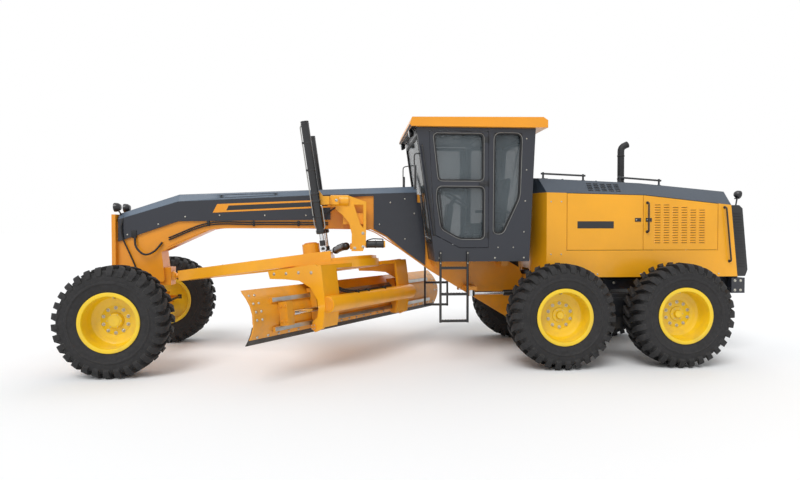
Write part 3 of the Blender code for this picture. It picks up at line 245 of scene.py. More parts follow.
def paint(name, colour, rough=0.34, vary=0.07, dust=0.10, worn=None, edge=0.007, coat=0.25, peel=0.10, rails=None):
    """Sprayed paint: slow colour drift, dust low down, worn edges and fine orange peel."""
    g = Graph(name)
    slow = g.ranged(g.noise(0.9, 4.0, 0.6), 0.35, 0.65)
    base = g.mixed(slow, scaled(colour, 1.0 - vary), scaled(colour, 1.0 + vary))
    if rails:  # the lid's handrails stand above its slope
        height = g.maths("SUBTRACT", g.axis("Z"), g.maths("MULTIPLY", g.axis("X"), 0.0414))
        base = g.mixed(g.maths("GREATER_THAN", height, 2.499), base, rails)
    grime = g.ranged(g.noise(5.0, 6.0, 0.65), 0.45, 0.75)
    low = g.ranged(g.axis("Z"), 1.5, 0.3)
    share = g.maths("MULTIPLY", g.maths("MULTIPLY", grime, low), dust * 3.0)
    base = g.mixed(share, base, rgb("8A7A62"))
    bending, normal = g.edges(edge)
    rub = g.maths("MULTIPLY", bending, g.ranged(g.noise(22.0, 5.0, 0.7), 0.42, 0.62))
    base = g.mixed(g.maths("MULTIPLY", rub, 0.55), base, worn or scaled(colour, 1.5))
    g.join(base, g.shader.inputs["Base Color"])
    mottle = g.ranged(g.noise(14.0, 5.0, 0.6), 0.3, 0.7, rough - 0.05, rough + 0.10)
    g.join(mottle, g.shader.inputs["Roughness"])
    g.shader.inputs["Coat Weight"].default_value = coat
    g.shader.inputs["Coat Roughness"].default_value = 0.12
    g.bump(g.noise(230.0, 2.0), peel, 0.0006, normal)
    return g.material


def metal(name, colour, rough=0.30, metallic=1.0, grain=(1.0, 1.0, 1.0), vary=0.12):
    """Bare metal with streaks along its grain and a little staining."""
    g = Graph(name)
    stain = g.ranged(g.noise(7.0, 5.0, 0.6), 0.35, 0.7)
    g.join(g.mixed(stain, scaled(colour, 1.0 - vary), scaled(colour, 1.0 + vary)), g.shader.inputs["Base Color"])
    streak = g.noise(60.0, 4.0, 0.6, grain)
    g.join(g.ranged(streak, 0.3, 0.7, rough - 0.07, rough + 0.12), g.shader.inputs["Roughness"])
    g.shader.inputs["Metallic"].default_value = metallic
    _, normal = g.edges(0.004)
    g.bump(streak, 0.12, 0.0006, normal)
    return g.material


def rubber(name, colour, rough=0.78, worn="6A6862", grain=95.0, dusty=0.45):
    """Moulded rubber: matt, mottled, with pale dust on its edges and worn faces."""
    g = Graph(name)
    blotch = g.ranged(g.noise(4.0, 6.0, 0.65), 0.35, 0.7)
    base = g.mixed(blotch, scaled(colour, 0.8), scaled(colour, 1.25))
    bending, normal = g.edges(0.008)
    rub = g.maths("MULTIPLY", bending, g.ranged(g.noise(18.0, 4.0, 0.7), 0.35, 0.65))
    base = g.mixed(g.maths("MULTIPLY", rub, dusty), base, rgb(worn))
    g.join(base, g.shader.inputs["Base Color"])
    g.join(g.ranged(g.noise(30.0, 4.0), 0.3, 0.7, rough - 0.06, rough + 0.1), g.shader.inputs["Roughness"])
    g.bump(g.noise(grain, 4.0, 0.6), 0.35, 0.0012, normal)
    return g.material


YELLOW = rgb("F3A914")
DEEP_YELLOW = rgb("E89414")
NAVY = rgb("191D28")

mats = {
    "hood_yellow": paint("hood_yellow", YELLOW),
    "frame_yellow": paint("frame_yellow", DEEP_YELLOW, rough=0.38, vary=0.09, dust=0.16),
    "roof_yellow": paint("roof_yellow", rgb("EE9A12"), rough=0.36),
    "blade_yellow": paint("blade_yellow", rgb("E89A18"), rough=0.40, vary=0.12, dust=0.2),
    "rim_yellow": paint("rim_yellow", rgb("F0C81C"), rough=0.32, vary=0.05, dust=0.12),
    "navy": paint("navy", NAVY, rough=0.36, vary=0.14, dust=0.05, worn=rgb("5B6575"), coat=0.35),
    # slate: a lighter copy of the navy, painted highlight for the navy cover's upward-facing chamfer
    "slate": paint("slate", rgb("5A6878"), rough=0.36, vary=0.08, dust=0.03, worn=rgb("7C8896")),
    "lid_slate": paint("lid_slate", rgb("3E4854"), rough=0.38, vary=0.08, dust=0.03, worn=rgb("7C8896"), rails=rgb("17181B")),
    "black_enamel": paint("black_enamel", rgb("17181B"), rough=0.34, vary=0.2, dust=0.06, worn=rgb("55585C")),
    # Sooty black: real soot on the exhaust; painted shade on the roof eave strip, louvre slots and lid vents
    "soot_and_shade_black": paint("soot_and_shade_black", rgb("1A1A1C"), rough=0.55, vary=0.3, dust=0.06, worn=rgb("5A4A40"), coat=0.0),
    "cast_iron": paint("cast_iron", rgb("2A2B2D"), rough=0.55, vary=0.25, dust=0.2, worn=rgb("6F6E6A"), coat=0.0, peel=0.4),
    "chrome": metal("chrome", rgb("D8DADC"), rough=0.14, vary=0.04, grain=(1.0, 1.0, 14.0)),
    "steel": metal("steel", rgb("A9A8A4"), rough=0.34, grain=(1.0, 16.0, 1.0)),
    "zinc": metal("zinc", rgb("C2BFB4"), rough=0.32),
    "edge_steel": metal("edge_steel", rgb("4A4744"), rough=0.45, metallic=0.8, vary=0.3),
    "tyre": rubber("tyre", rgb("232223"), dusty=0.8),
    "hose": rubber("hose", rgb("121214"), rough=0.55, dusty=0.2, grain=160.0),
    "seal": rubber("seal", rgb("0F1012"), rough=0.6, dusty=0.1, grain=160.0),
}


def glass():
    """Lightly tinted safety glass with a faint unevenness."""
    g = Graph("tinted_glass")
    tint = g.ranged(g.noise(1.4, 3.0), 0.3, 0.7)
    g.join(g.mixed(tint, rgb("4E575C"), rgb("616B70")), g.shader.inputs["Base Color"])
    g.join(g.ranged(g.noise(2.5, 3.0), 0.3, 0.7, 0.03, 0.08), g.shader.inputs["Roughness"])
    g.join(g.ranged(g.noise(0.8, 2.0), 0.3, 0.7, 0.46, 0.56), g.shader.inputs["Alpha"])
    g.bump(g.noise(1.1, 2.0), 0.04, 0.01)
    return g.material


def fabric():
    """Woven seat cloth."""
    g = Graph("seat_cloth")
    weave = g.maths("ADD", g.noise(420.0, 2.0, 0.5, (1.0, 0.12, 1.0)), g.noise(420.0, 2.0, 0.5, (0.12, 1.0, 1.0)))
    wear = g.ranged(g.noise(6.0, 4.0), 0.35, 0.7)
    base = g.mixed(wear, rgb("1B1C1F"), rgb("2C2E33"))
    base = g.mixed(g.ranged(weave, 0.8, 1.25, 0.0, 0.5), base, rgb("41444A"))
    g.join(base, g.shader.inputs["Base Color"])
    g.join(g.ranged(weave, 0.8, 1.2, 0.8, 0.95), g.shader.inputs["Roughness"])
    g.shader.inputs["Sheen Weight"].default_value = 0.15
    g.bump(weave, 0.5, 0.001)
    return g.material


mats["glass"] = glass()
mats["cloth"] = fabric()


def lens(name, colour, rough=0.12):
    g = Graph(name)
    rib = g.noise(130.0, 2.0, 0.5, (1.0, 1.0, 0.1))
    g.join(g.mixed(rib, scaled(colour, 0.75), scaled(colour, 1.2)), g.shader.inputs["Base Color"])
    g.join(g.ranged(rib, 0.3, 0.7, rough, rough + 0.08), g.shader.inputs["Roughness"])
    g.bump(rib, 0.3, 0.001)
    return g.material


mats["clear_lens"] = lens("clear_lens", rgb("C9D0D2"))
mats["red_lens"] = lens("red_lens", rgb("B01818"))
mats["amber_lens"] = lens("amber_lens", rgb("E07A10"))

# ---- CAD nodes: rounded shading and their materials --------------------------------------------


def shading_group():
    """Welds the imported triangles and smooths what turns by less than 32 degrees."""
    group = bpy.data.node_groups.new("smooth_shading", "GeometryNodeTree")
    group.interface.new_socket("Geometry", in_out="INPUT", socket_type="NodeSocketGeometry")
    group.interface.new_socket("Geometry", in_out="OUTPUT", socket_type="NodeSocketGeometry")
    nodes, links = group.nodes, group.links
    start = nodes.new("NodeGroupInput")
    end = nodes.new("NodeGroupOutput")
    weld = nodes.new("GeometryNodeMergeByDistance")
    weld.inputs["Distance"].default_value = 0.00005
    plain = nodes.new("GeometryNodeRemoveAttribute")
    plain.inputs["Name"].default_value = "custom_normal"
    faces = nodes.new("GeometryNodeSetShadeSmooth")
    edges = nodes.new("GeometryNodeSetShadeSmooth")
    edges.domain = "EDGE"
    edges.inputs["Shade Smooth"].default_value = False
    angle = nodes.new("GeometryNodeInputMeshEdgeAngle")
    sharp = nodes.new("FunctionNodeCompare")
    sharp.operation = "GREATER_THAN"
    sharp.inputs[1].default_value = math.radians(32)
    links.new(angle.outputs["Unsigned Angle"], sharp.inputs[0])
    links.new(sharp.outputs[0], edges.inputs["Selection"])
    links.new(start.outputs[0], plain.inputs["Geometry"])
    links.new(plain.outputs[0], weld.inputs["Geometry"])
    links.new(weld.outputs[0], faces.inputs[0])
    links.new(faces.outputs[0], edges.inputs[0])
    links.new(edges.outputs[0], end.inputs[0])
    return group


SHADING = shading_group()

NODE_FINISH = {
    "engine_block": "cast_iron",
    "exhaust_stack": "soot_and_shade_black",
    "hood_lid": "lid_slate",
    "hood_walls": "hood_yellow",
    "radiator_grille": "black_enamel",
    "rear_frame": "navy",
    "tandem_drive": "black_enamel",
    "boom_cover": "navy",
    "cab_body": "navy",
    "cab_rear_glass": "glass",
    "windscreen": "glass",
    "cab_roof": "roof_yellow",
    "cab_step": "black_enamel",
    "front_axle": "frame_yellow",
    "front_frame": "frame_yellow",
    "lift_saddle": "hood_yellow",
    "operator_seat": "cloth",
    "steering_console": "black_enamel",
    "cab_door": "navy",
    "door_glass": "glass",
    "hood_door": "hood_yellow",
    "lean_bracket": "frame_yellow",
    "knuckle": "frame_yellow",
    "lean_bar": "black_enamel",
    "tie_rod": "black_enamel",
    "lift_left_barrel": "black_enamel",
    "lift_right_barrel": "black_enamel",
    "lift_left_rod": "chrome",
    "lift_right_rod": "chrome",
    "articulation_left_barrel": "black_enamel",
    "articulation_right_barrel": "black_enamel",
    "articulation_left_rod": "chrome",
    "articulation_right_rod": "chrome",
    "centre_shift_barrel": "black_enamel",
    "centre_shift_rod": "chrome",
    "drawbar": "hood_yellow",
    "circle": "hood_yellow",
    "blade_carrier": "blade_yellow",
    "moldboard": "blade_yellow",
    "cutting_edge": "edge_steel",
}


def finish_of(node):
    """The finish whose key is the longest one that starts this node's name."""
    keys = [key for key in NODE_FINISH if node.startswith(key)]
    return NODE_FINISH[max(keys, key=len)] if keys else "black_enamel"


for node_name, node in NODES.items():
    for material_slot in node.material_slots:
        material_slot.material = mats[finish_of(node_name)]
    node.modifiers.new("shading", "NODES").node_group = SHADING

# ---- Mesh helpers --------------------------------------------------------------------------------


def turn_to(direction, origin=(0, 0, 0)):
    """The frame at a place whose +Z points along a direction."""
    turn = Vector(direction).to_track_quat("Z", "Y").to_matrix().to_4x4()
    return Matrix.Translation(origin) @ turn


class Shape:
    """Gathers the solids of one piece, then makes the object."""

    def __init__(self):
        self.bm = bmesh.new()

    def loft(self, rings, closed=False, cap=True):
        """Skins rings of equal length. A closed loft joins its last ring to its first."""
        made = [[self.bm.verts.new(point) for point in ring] for ring in rings]
        count = len(made[0])
        pairs = list(zip(made, made[1:]))
        if closed:
            pairs.append((made[-1], made[0]))
        for one, two in pairs:
            for at in range(count):
                after = (at + 1) % count
                self.bm.faces.new((one[at], one[after], two[after], two[at]))
        if cap and not closed:
            self.bm.faces.new(list(reversed(made[0])))
            self.bm.faces.new(made[-1])
        return self

    def turned(self, profile, where, sides=48, closed=False):
        """Turns (radius, height) points about the frame's +Z. A radius of 0 is drawn as a tiny one."""
        rings = []
        for radius, height in profile:
            radius = max(radius, 0.0004)
            rings.append(
                [
                    where @ Vector((radius * math.cos(a), radius * math.sin(a), height))
                    for a in (2 * math.pi * at / sides for at in range(sides))
                ]
            )
        return self.loft(rings, closed=closed)

    def rod(self, start, end, radius, sides=20, bevel=0.15):
        start, end = Vector(start), Vector(end)
        length = (end - start).length
        cut = min(radius * bevel, length * 0.3)
        where = turn_to(end - start, start)
        return self.turned(
            [(radius - cut, 0), (radius, cut), (radius, length - cut), (radius - cut, length)], where, sides
        )

    def tube(self, points, radius, sides=12, rounded=0.0):
        """A round tube along points; with rounded, each corner becomes an arc."""
        points = [Vector(p) for p in points]
        if rounded:
            points = softened(points, rounded)
        before = None
        rings = []
        for at, point in enumerate(points):
            ahead = points[min(at + 1, len(points) - 1)] - points[max(at - 1, 0)]
            ahead.normalize()
            if before is None:
                side = ahead.orthogonal().normalized()
            else:
                side = (before - ahead * before.dot(ahead)).normalized()
            before = side
            up = ahead.cross(side)
            rings.append(
                [
                    point + radius * (side * math.cos(a) + up * math.sin(a))
                    for a in (2 * math.pi * k / sides for k in range(sides))
                ]
            )
        return self.loft(rings)

    def block(self, low, high, cut=0.004, where=None):
        """A box with its upright and level edges cut."""
        low, high = (Vector(tuple(pick(a, b) for a, b in zip(low, high))) for pick in (min, max))
        bm = bmesh.new()
        bmesh.ops.create_cube(bm, size=1.0)
        size, middle = high - low, (high + low) / 2
        for vert in bm.verts:
            vert.co = Vector(tuple(vert.co[k] * size[k] for k in range(3))) + middle
        cut = min(cut, min(size) * 0.4)
        if cut > 0:
            bmesh.ops.bevel(bm, geom=list(bm.edges), offset=cut, segments=2, profile=0.6, affect="EDGES")
        if where is not None:
            bm.transform(where)
        self.take(bm)
        return self

    def prism(self, outline, low, high, axis="Y", cut=0.0, where=None):
        """An outline drawn across an axis and pushed from low to high."""
        bm = bmesh.new()
        order = {"X": (2, 0, 1), "Y": (0, 2, 1), "Z": (0, 1, 2)}[axis]

        def place(point, level):
            parts = (point[0], point[1], level)
            return Vector(tuple(parts[order[k]] for k in range(3)))

        base = [bm.verts.new(place(point, low)) for point in outline]
        top = [bm.verts.new(place(point, high)) for point in outline]
        bm.faces.new(base)
        bm.faces.new(top)
        for at in range(len(outline)):
            after = (at + 1) % len(outline)
            bm.faces.new((base[at], base[after], top[after], top[at]))
        bmesh.ops.recalc_face_normals(bm, faces=bm.faces)
        if cut:
            edges = [e for e in bm.edges if e.calc_face_angle(0.0) > math.radians(20)]
            bmesh.ops.bevel(bm, geom=edges, offset=cut, segments=2, profile=0.6, affect="EDGES")
        if where is not None:
            bm.transform(where)
        self.take(bm)
        return self

    def nut(self, place, outward, radius=0.012, height=0.010, washer=True):
        """A hexagon head with cut corners on a washer."""
        where = turn_to(outward, place)
        if washer:
            self.turned([(radius * 1.45, 0), (radius * 1.45, 0.0018), (radius * 1.3, 0.0025)], where, 20)
        self.turned(
            [(radius, 0), (radius, height * 0.8), (radius * 0.82, height), (radius * 0.4, height)], where, 6
        )
        return self

    def take(self, bm):
        mesh = bpy.data.meshes.new("part")
        bm.to_mesh(mesh)
        bm.free()
        self.bm.from_mesh(mesh)
        bpy.data.meshes.remove(mesh)

    def mesh(self, name, finish, smooth=35):
        bmesh.ops.recalc_face_normals(self.bm, faces=self.bm.faces)
        mesh = bpy.data.meshes.new(name)
        self.bm.to_mesh(mesh)
        self.bm.free()
        mesh.shade_smooth()
        mesh.set_sharp_from_angle(angle=math.radians(smooth))
        mesh.materials.append(mats[finish])
        return mesh

    def piece(self, name, body, finish, slot=None, smooth=35):
        found = bpy.data.objects.new(name, self.mesh(name, finish, smooth))
        scene.collection.objects.link(found)
        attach(found, body)
        return found


def softened(points, radius, steps=6):
    """The path with each inner corner turned into an arc of about this radius."""
    found = [points[0]]
    for before, corner, after in zip(points, points[1:], points[2:]):
        back, ahead = before - corner, after - corner
        reach = min(radius, back.length * 0.49, ahead.length * 0.49)
        start, end = corner + back.normalized() * reach, corner + ahead.normalized() * reach
        for step in range(steps + 1):
            t = step / steps
            found.append((1 - t) ** 2 * start + 2 * t * (1 - t) * corner + t * t * end)
    found.append(points[-1])
    return found


def curved(points, steps=10):
    """A smooth line through points (Catmull-Rom)."""
    points = [Vector(p) for p in points]
    padded = [2 * points[0] - points[1], *points, 2 * points[-1] - points[-2]]
    found = []
    for a, b, c, d in zip(padded, padded[1:], padded[2:], padded[3:]):
        for step in range(steps):
            t = step / steps
            found.append(
                0.5 * (2 * b + (c - a) * t + (2 * a - 5 * b + 4 * c - d) * t * t + (3 * b - a - 3 * c + d) * t**3)
            )
    found.append(points[-1])
    return found


# ---- Wheels ---------------------------------------------------------------------------------------

LUGS = 30
CARCASS = [  # (radius, distance from the tyre's middle): from bead to crown
    (0.3262, 0.170),
    (0.345, 0.1795),
    (0.357, 0.1835),
    (0.385, 0.1955),
    (0.43, 0.2075),
    (0.450, 0.2100),
    (0.458, 0.2185),
    (0.474, 0.2190),
    (0.484, 0.2115),
    (0.51, 0.2135),
    (0.548, 0.2060),
    (0.572, 0.1930),
    (0.592, 0.1720),
    (0.600, 0.1400),
    (0.604, 0.0700),
    (0.606, 0.0),
]


def lug(shape, at, side, where):
    """One chevron bar: from near the middle of the tread out over the shoulder."""
    pitch = 2 * math.pi / LUGS
    base = at * pitch + (0.5 * pitch if side < 0 else 0.0)
    # (distance across, top radius, root radius, half width along the tread, lead along the tread)
    stations = [
        (0.010, 0.6530, 0.590, 0.020, 0.030),
        (0.055, 0.6548, 0.590, 0.023, 0.012),
        (0.110, 0.6548, 0.588, 0.028, -0.016),
        (0.155, 0.6510, 0.582, 0.033, -0.036),
        (0.190, 0.6360, 0.572, 0.036, -0.044),
        (0.2120, 0.6080, 0.550, 0.036, -0.046),
        (0.2222, 0.5560, 0.520, 0.030, -0.046),
    ]
    rings = []
    for across, top, root, half, lead in stations:
        ring = []
        for radius, wide in ((root, half + 0.006), (root, -half - 0.006), (top, -half), (top, half)):
            angle = base + (lead + wide) / 0.63
            level = across if radius == top else min(across, 0.200)
            ring.append(where @ Vector((radius * math.cos(angle), radius * math.sin(angle), side * level)))
        rings.append(ring)
    shape.loft(rings)


def tyre_mesh(name, where):
    shape = Shape()
    outer = [(radius, height) for radius, height in CARCASS]
    profile = outer + [(radius, -height) for radius, height in reversed(outer[:-1])]
    shape.turned(profile, where, 120, closed=True)
    for at in range(LUGS):
        for side in (1, -1):
            lug(shape, at, side, where)
    return shape.mesh(name, "tyre", 40)


def rim_mesh(name, where, front):
    """The wheel's centre: rolled flange, drop barrel, dished disc, groove and hub."""
    shape = Shape()
    outer = [
        (0.3050, 0.186),
        (0.3090, 0.1935),
        (0.3200, 0.1965),
        (0.3330, 0.1975),
        (0.3460, 0.1970),
        (0.3535, 0.1935),
        (0.3545, 0.1880),
        (0.3500, 0.1855),
        (0.3255, 0.1755),
        (0.3250, 0.150),
        (0.3120, 0.120),
        (0.3120, -0.120),
        (0.3250, -0.150),
        (0.3255, -0.1755),
        (0.3520, -0.188),
        (0.3545, -0.192),
        (0.3460, -0.197),
        (0.3330, -0.1975),
        (0.3090, -0.1935),
        (0.3030, -0.180),
        (0.3030, -0.075),
        (0.2850, -0.0600),
        (0.0100, -0.0590),
        (0.0100, -0.0310),
        (0.1700, -0.0300),
        (0.1750, -0.0330),
        (0.1800, -0.0300),
        (0.2300, -0.0295),
        (0.2500, -0.0270),
        (0.2760, -0.0150),
        (0.2950, 0.0150),
        (0.3010, 0.060),
        (0.3030, 0.150),
    ]
    shape.turned(outer, where, 96, closed=True)
    if front:
        hub = [
            (0.098, -0.030),
            (0.098, -0.012),
            (0.090, -0.004),
            (0.088, 0.014),
            (0.078, 0.022),
            (0.074, 0.024),
            (0.066, 0.024),
            (0.062, 0.029),
            (0.030, 0.030),
            (0.0, 0.030),
        ]
    else:
        hub = [
            (0.092, -0.030),
            (0.092, -0.020),
            (0.088, -0.016),
            (0.052, -0.014),
            (0.048, -0.006),
            (0.046, 0.016),
            (0.040, 0.022),
            (0.0, 0.024),
        ]
    shape.turned([(0.0, -0.0305)] + hub, where, 48)
    return shape.mesh(name, "rim_yellow", 32)


def nuts_mesh(name, where, front):
    shape = Shape()
    for at in range(10):
        angle = 2 * math.pi * (at + 0.5) / 10
        place = where @ Vector((0.150 * math.cos(angle), 0.150 * math.sin(angle), -0.0298))
        outward = where.to_3x3() @ Vector((0, 0, 1))
        shape.nut(place, outward, 0.0150, 0.016)
        shape.rod(place + outward * 0.012, place + outward * 0.030, 0.0075, 12)
    for at in range(6):
        angle = 2 * math.pi * at / 6
        reach, height = (0.081, 0.0205) if front else (0.070, -0.0150)
        place = where @ Vector((reach * math.cos(angle), reach * math.sin(angle), height))
        shape.nut(place, where.to_3x3() @ Vector((0, 0, 1)), 0.0055, 0.006, washer=False)
    return shape.mesh(name, "zinc", 30)


def stand(name, mesh, body, slot, *stands_for):
    found = bpy.data.objects.new(name, mesh)
    scene.collection.objects.link(found)
    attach(found, body)
    if stands_for:
        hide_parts(*stands_for)
    return found


for wheel, (wheel_x, wheel_y, wheel_side) in WHEELS.items():
    hub_frame = Matrix.Translation((wheel_x, wheel_y, 0.655)) @ Matrix.Rotation(
        math.radians(-90 * wheel_side), 4, "X"
    )
    spin = Matrix.Rotation(0.37 * wheel_x, 4, "Z")
    if wheel_side < 0:
        spin = spin @ Matrix.Rotation(math.pi, 4, "X")
        tread_frame = hub_frame @ Matrix.Rotation(math.pi, 4, "X") @ Matrix.Rotation(0.37 * wheel_x, 4, "Z")
    else:
        tread_frame = hub_frame @ spin
    is_front = wheel.startswith("front")
    stand(f"{wheel}_tread", tyre_mesh(f"{wheel}_tread", tread_frame), wheel, "tyre_rubber", f"{wheel}_tyre")
    stand(f"{wheel}_centre", rim_mesh(f"{wheel}_centre", hub_frame, is_front), wheel, "yellow_paint", f"{wheel}_rim")
    stand(f"{wheel}_nuts", nuts_mesh(f"{wheel}_nuts", hub_frame, is_front), wheel, "polished_steel")
    valve = Shape()
    valve_at = hub_frame @ Vector((0.0, -0.262, -0.020))
    valve.rod(valve_at, hub_frame @ Vector((0.0, -0.275, 0.035)), 0.007, 12)
    valve.rod(hub_frame @ Vector((0.0, -0.274, 0.030)), hub_frame @ Vector((0.0, -0.279, 0.052)), 0.009, 12)
    valve.piece(f"{wheel}_valve", wheel, "zinc", "polished_steel")

# ---- Rear: hood, grille and tail ------------------------------------------------------------------

REAR = "rear_chassis"
FRONT = "front_chassis"
HOOD_HALF = 0.62
HOOD_LINE = ((-1.50, 2.225, 2.425), (-2.95, 2.195, 2.365), (-4.17, 2.065, 2.255))


def between(stations, x, column):
    """A column of stations, read at x. The first column is x, falling."""
    for one, two in zip(stations, stations[1:]):
        if x >= two[0] or two is stations[-1]:
            share = (x - one[0]) / (two[0] - one[0])
            return one[column] + (two[column] - one[column]) * share
    return stations[-1][column]


def hood_side(x):
    return between(HOOD_LINE, x, 1)


def hood_top(x):
    return between(HOOD_LINE, x, 2)


def lid_slope(x, share):
    """A point on the lid's sloping side: share 0 at the edge and 1 at the top."""
    return Vector((x, HOOD_HALF + (0.45 - HOOD_HALF) * share, hood_side(x) + (hood_top(x) - hood_side(x)) * share))


def strip_along(shape, points, width, thick, side):
    """A flat raised strip on a side face: points are (x, z), on the plane y."""
    for (x0, y0, z0), (x1, y1, z1) in zip(points, points[1:]):
        along = Vector((x1 - x0, 0, z1 - z0)).normalized()
        across = Vector((-along.z, 0, along.x)) * width / 2
        ring = []
        for at, y in (((x0, z0), y0), ((x1, z1), y1)):
            base = Vector((at[0], y, at[1]))
            ring.append(
                [
                    base - across,
                    base + across,
                    base + across + Vector((0, side * thick, 0)),
                    base - across + Vector((0, side * thick, 0)),
                ]
            )
        shape.loft(ring)


def grab(shape, points, radius=0.011, rounded=0.05):
    shape.tube(points, radius, 12, rounded)


def hood_details():
    for name, side in SIDES:
        face = side * HOOD_HALF
        # Catches on both sides of the split, grab handles at the free edges and rear corner
        for end, sign, body in (
            ("front", 1, f"hood_door_{name}_front_body"),
            ("rear", -1, f"hood_door_{name}_rear_body"),
        ):
            latch = Shape()
            x = -2.93 + sign * 0.075
            latch.block((x - 0.042, face - side * 0.002, 1.835), (x + 0.042, face + side * 0.008, 1.885), 0.006)
            latch.block((x - 0.030, face + side * 0.006, 1.845), (x + 0.012, face + side * 0.014, 1.875), 0.004)
            latch.piece(f"catch_{name}_{end}", body, "black_enamel", "black_paint")
            barrel = Shape()
            barrel.rod((x + 0.026, face + side * 0.004, 1.86), (x + 0.026, face + side * 0.013, 1.86), 0.009, 20)
            barrel.piece(f"lock_{name}_{end}", body, "zinc", "polished_steel")
        handle = Shape()
        x, reach = -2.955, face + side * 0.045
        grab(handle, [(x - 0.03, face - side * 0.004, 2.09), (x - 0.03, reach, 2.09), (x - 0.03, reach, 1.70), (x - 0.03, face - side * 0.004, 1.70)])
        for z in (2.09, 1.70):
            handle.rod((x - 0.03, face, z), (x - 0.03, face + side * 0.006, z), 0.02, 20)
        handle.piece(f"door_handle_{name}", f"hood_door_{name}_rear_body", "black_enamel", "black_paint")
        corner = Shape()
        grab(corner, [(-4.075, face - side * 0.004, 2.03), (-4.075, reach, 2.03), (-4.15, reach, 1.30), (-4.15, face - side * 0.004, 1.30)])
        for x, z in ((-4.075, 2.03), (-4.15, 1.30)):
            corner.rod((x, face, z), (x, face + side * 0.006, z), 0.02, 20)
        corner.piece(f"corner_handle_{name}", REAR, "black_enamel", "black_paint")
        # Blank name plate on the front door
        plate = Shape()
        plate.block((-2.02, face - side * 0.001, 1.745), (-2.52, face + side * 0.003, 1.84), 0.002)
        for x in (-2.035, -2.505):
            for z in (1.76, 1.825):
                plate.rod((x, face + side * 0.002, z), (x, face + side * 0.0045, z), 0.004, 10)
        plate.piece(f"blank_plate_{name}", f"hood_door_{name}_front_body", "black_enamel", "black_paint")
        # Louvres in the rear door: six columns of pressed slots; the dark sheet under each lip is painted shade for the
        # opening
        louvres, slot_shade = Shape(), Shape()
        for column in range(6):
            for row in range(17):
                x = -3.13 - 0.125 * column
                z = 1.56 + 0.034 * row
                if z > hood_side(x) - 0.09:
                    continue
                ring = []
                for at, bulge in ((x + 0.046, 0.0), (x + 0.036, 1.0), (x - 0.036, 1.0), (x - 0.046, 0.0)):
                    ring.append(
                        [
                            Vector((at, face - side * 0.001, z + 0.010)),
                            Vector((at, face + side * (0.001 + 0.009 * bulge), z - 0.002)),
                            Vector((at, face + side * (0.0005 + 0.008 * bulge), z - 0.006)),
                            Vector((at, face - side * 0.001, z - 0.006)),
                        ]
                    )
                louvres.loft(ring)
                # Painted shade: a dark sheet under the lip, where the opening falls into shade
                slot_shade.block((x - 0.036, face - side * 0.001, z - 0.0125), (x + 0.036, face + side * 0.0012, z - 0.0055), 0.001)
        body = f"hood_door_{name}_rear_body"
        louvres.piece(f"louvres_{name}", body, "hood_yellow", "yellow_paint")
        slot_shade.piece(f"louvre_slot_shade_{name}", body, "soot_and_shade_black", "black_paint")
        # Dark seam round the doors, drawn where the sheet folds in
        seam = Shape()
        for x in (-1.88, -3.98):
            seam.block((x - 0.0025, face - side * 0.0305, 1.452), (x + 0.0025, face - side * 0.029, hood_side(x) - 0.01), 0.0)
        seam.piece(f"seam_{name}", REAR, "seal", "black_paint")
        # Vents pressed into the lid's slope: dark blocks, painted shade for the shaded vent openings
        vent_shade = Shape()
        for column in range(5):
            for row in range(5):
                x = -2.22 - 0.095 * column
                point = lid_slope(x, 0.25 + 0.13 * row)
                point.y *= side
                vent_shade.block((-0.034, -0.006, -0.001), (0.034, 0.006, 0.003), 0.002, turn_to((0, side * 0.76, 0.65), point) @ Matrix.Rotation(0, 4, "Z"))
        vent_shade.piece(f"lid_vent_shade_{name}", REAR, "soot_and_shade_black", "black_paint")
        # Long grab rails' feet on the lid
        feet = Shape()
        for x in (-1.62, -2.18, -2.70, -3.26):
            feet.rod((x, side * 0.40, hood_top(x) - 0.004), (x, side * 0.40, hood_top(x) + 0.008), 0.028, 24)
            for dx in (-0.018, 0.018):
                feet.nut((x + dx, side * 0.40, hood_top(x) + 0.008), (0, 0, 1), 0.004, 0.004, washer=False)
        feet.piece(f"rail_feet_{name}", REAR, "black_enamel", "black_paint")
        # Bolts along the fixed panel
        bolts = Shape()
        for x in (-1.66, -1.80):
            for z in (1.20, 1.40, 2.10):
                bolts.nut((x, face, z), (0, side, 0), 0.007, 0.005)
        for x in (-2.3, -2.9, -3.5, -4.0):
            bolts.nut((x, face, 1.13), (0, side, 0), 0.008, 0.006)
        bolts.piece(f"hood_bolts_{name}", REAR, "zinc", "polished_steel")

    cap = Shape()
    cap.turned([(0.0, 0.0), (0.05, 0.0), (0.05, 0.022), (0.042, 0.03), (0.0, 0.032)], Matrix.Translation((-1.72, 0.17, hood_top(-1.72) - 0.002)), 40)
    cap.turned([(0.0, 0.0), (0.035, 0.0), (0.035, 0.018), (0.03, 0.024), (0.0, 0.025)], Matrix.Translation((-1.72, -0.15, hood_top(-1.72) - 0.002)), 40)
    cap.piece("filler_caps", REAR, "black_enamel", "black_paint")

    collar = Shape()
    collar.turned(
        [(0.056, 0.0), (0.085, 0.0), (0.083, 0.012), (0.062, 0.020), (0.060, 0.045), (0.056, 0.045)],
        Matrix.Translation((-2.90, 0, hood_top(-2.90) - 0.003)),
        40,
        closed=True,
    )
    collar.piece("exhaust_collar", REAR, "black_enamel", "black_paint")


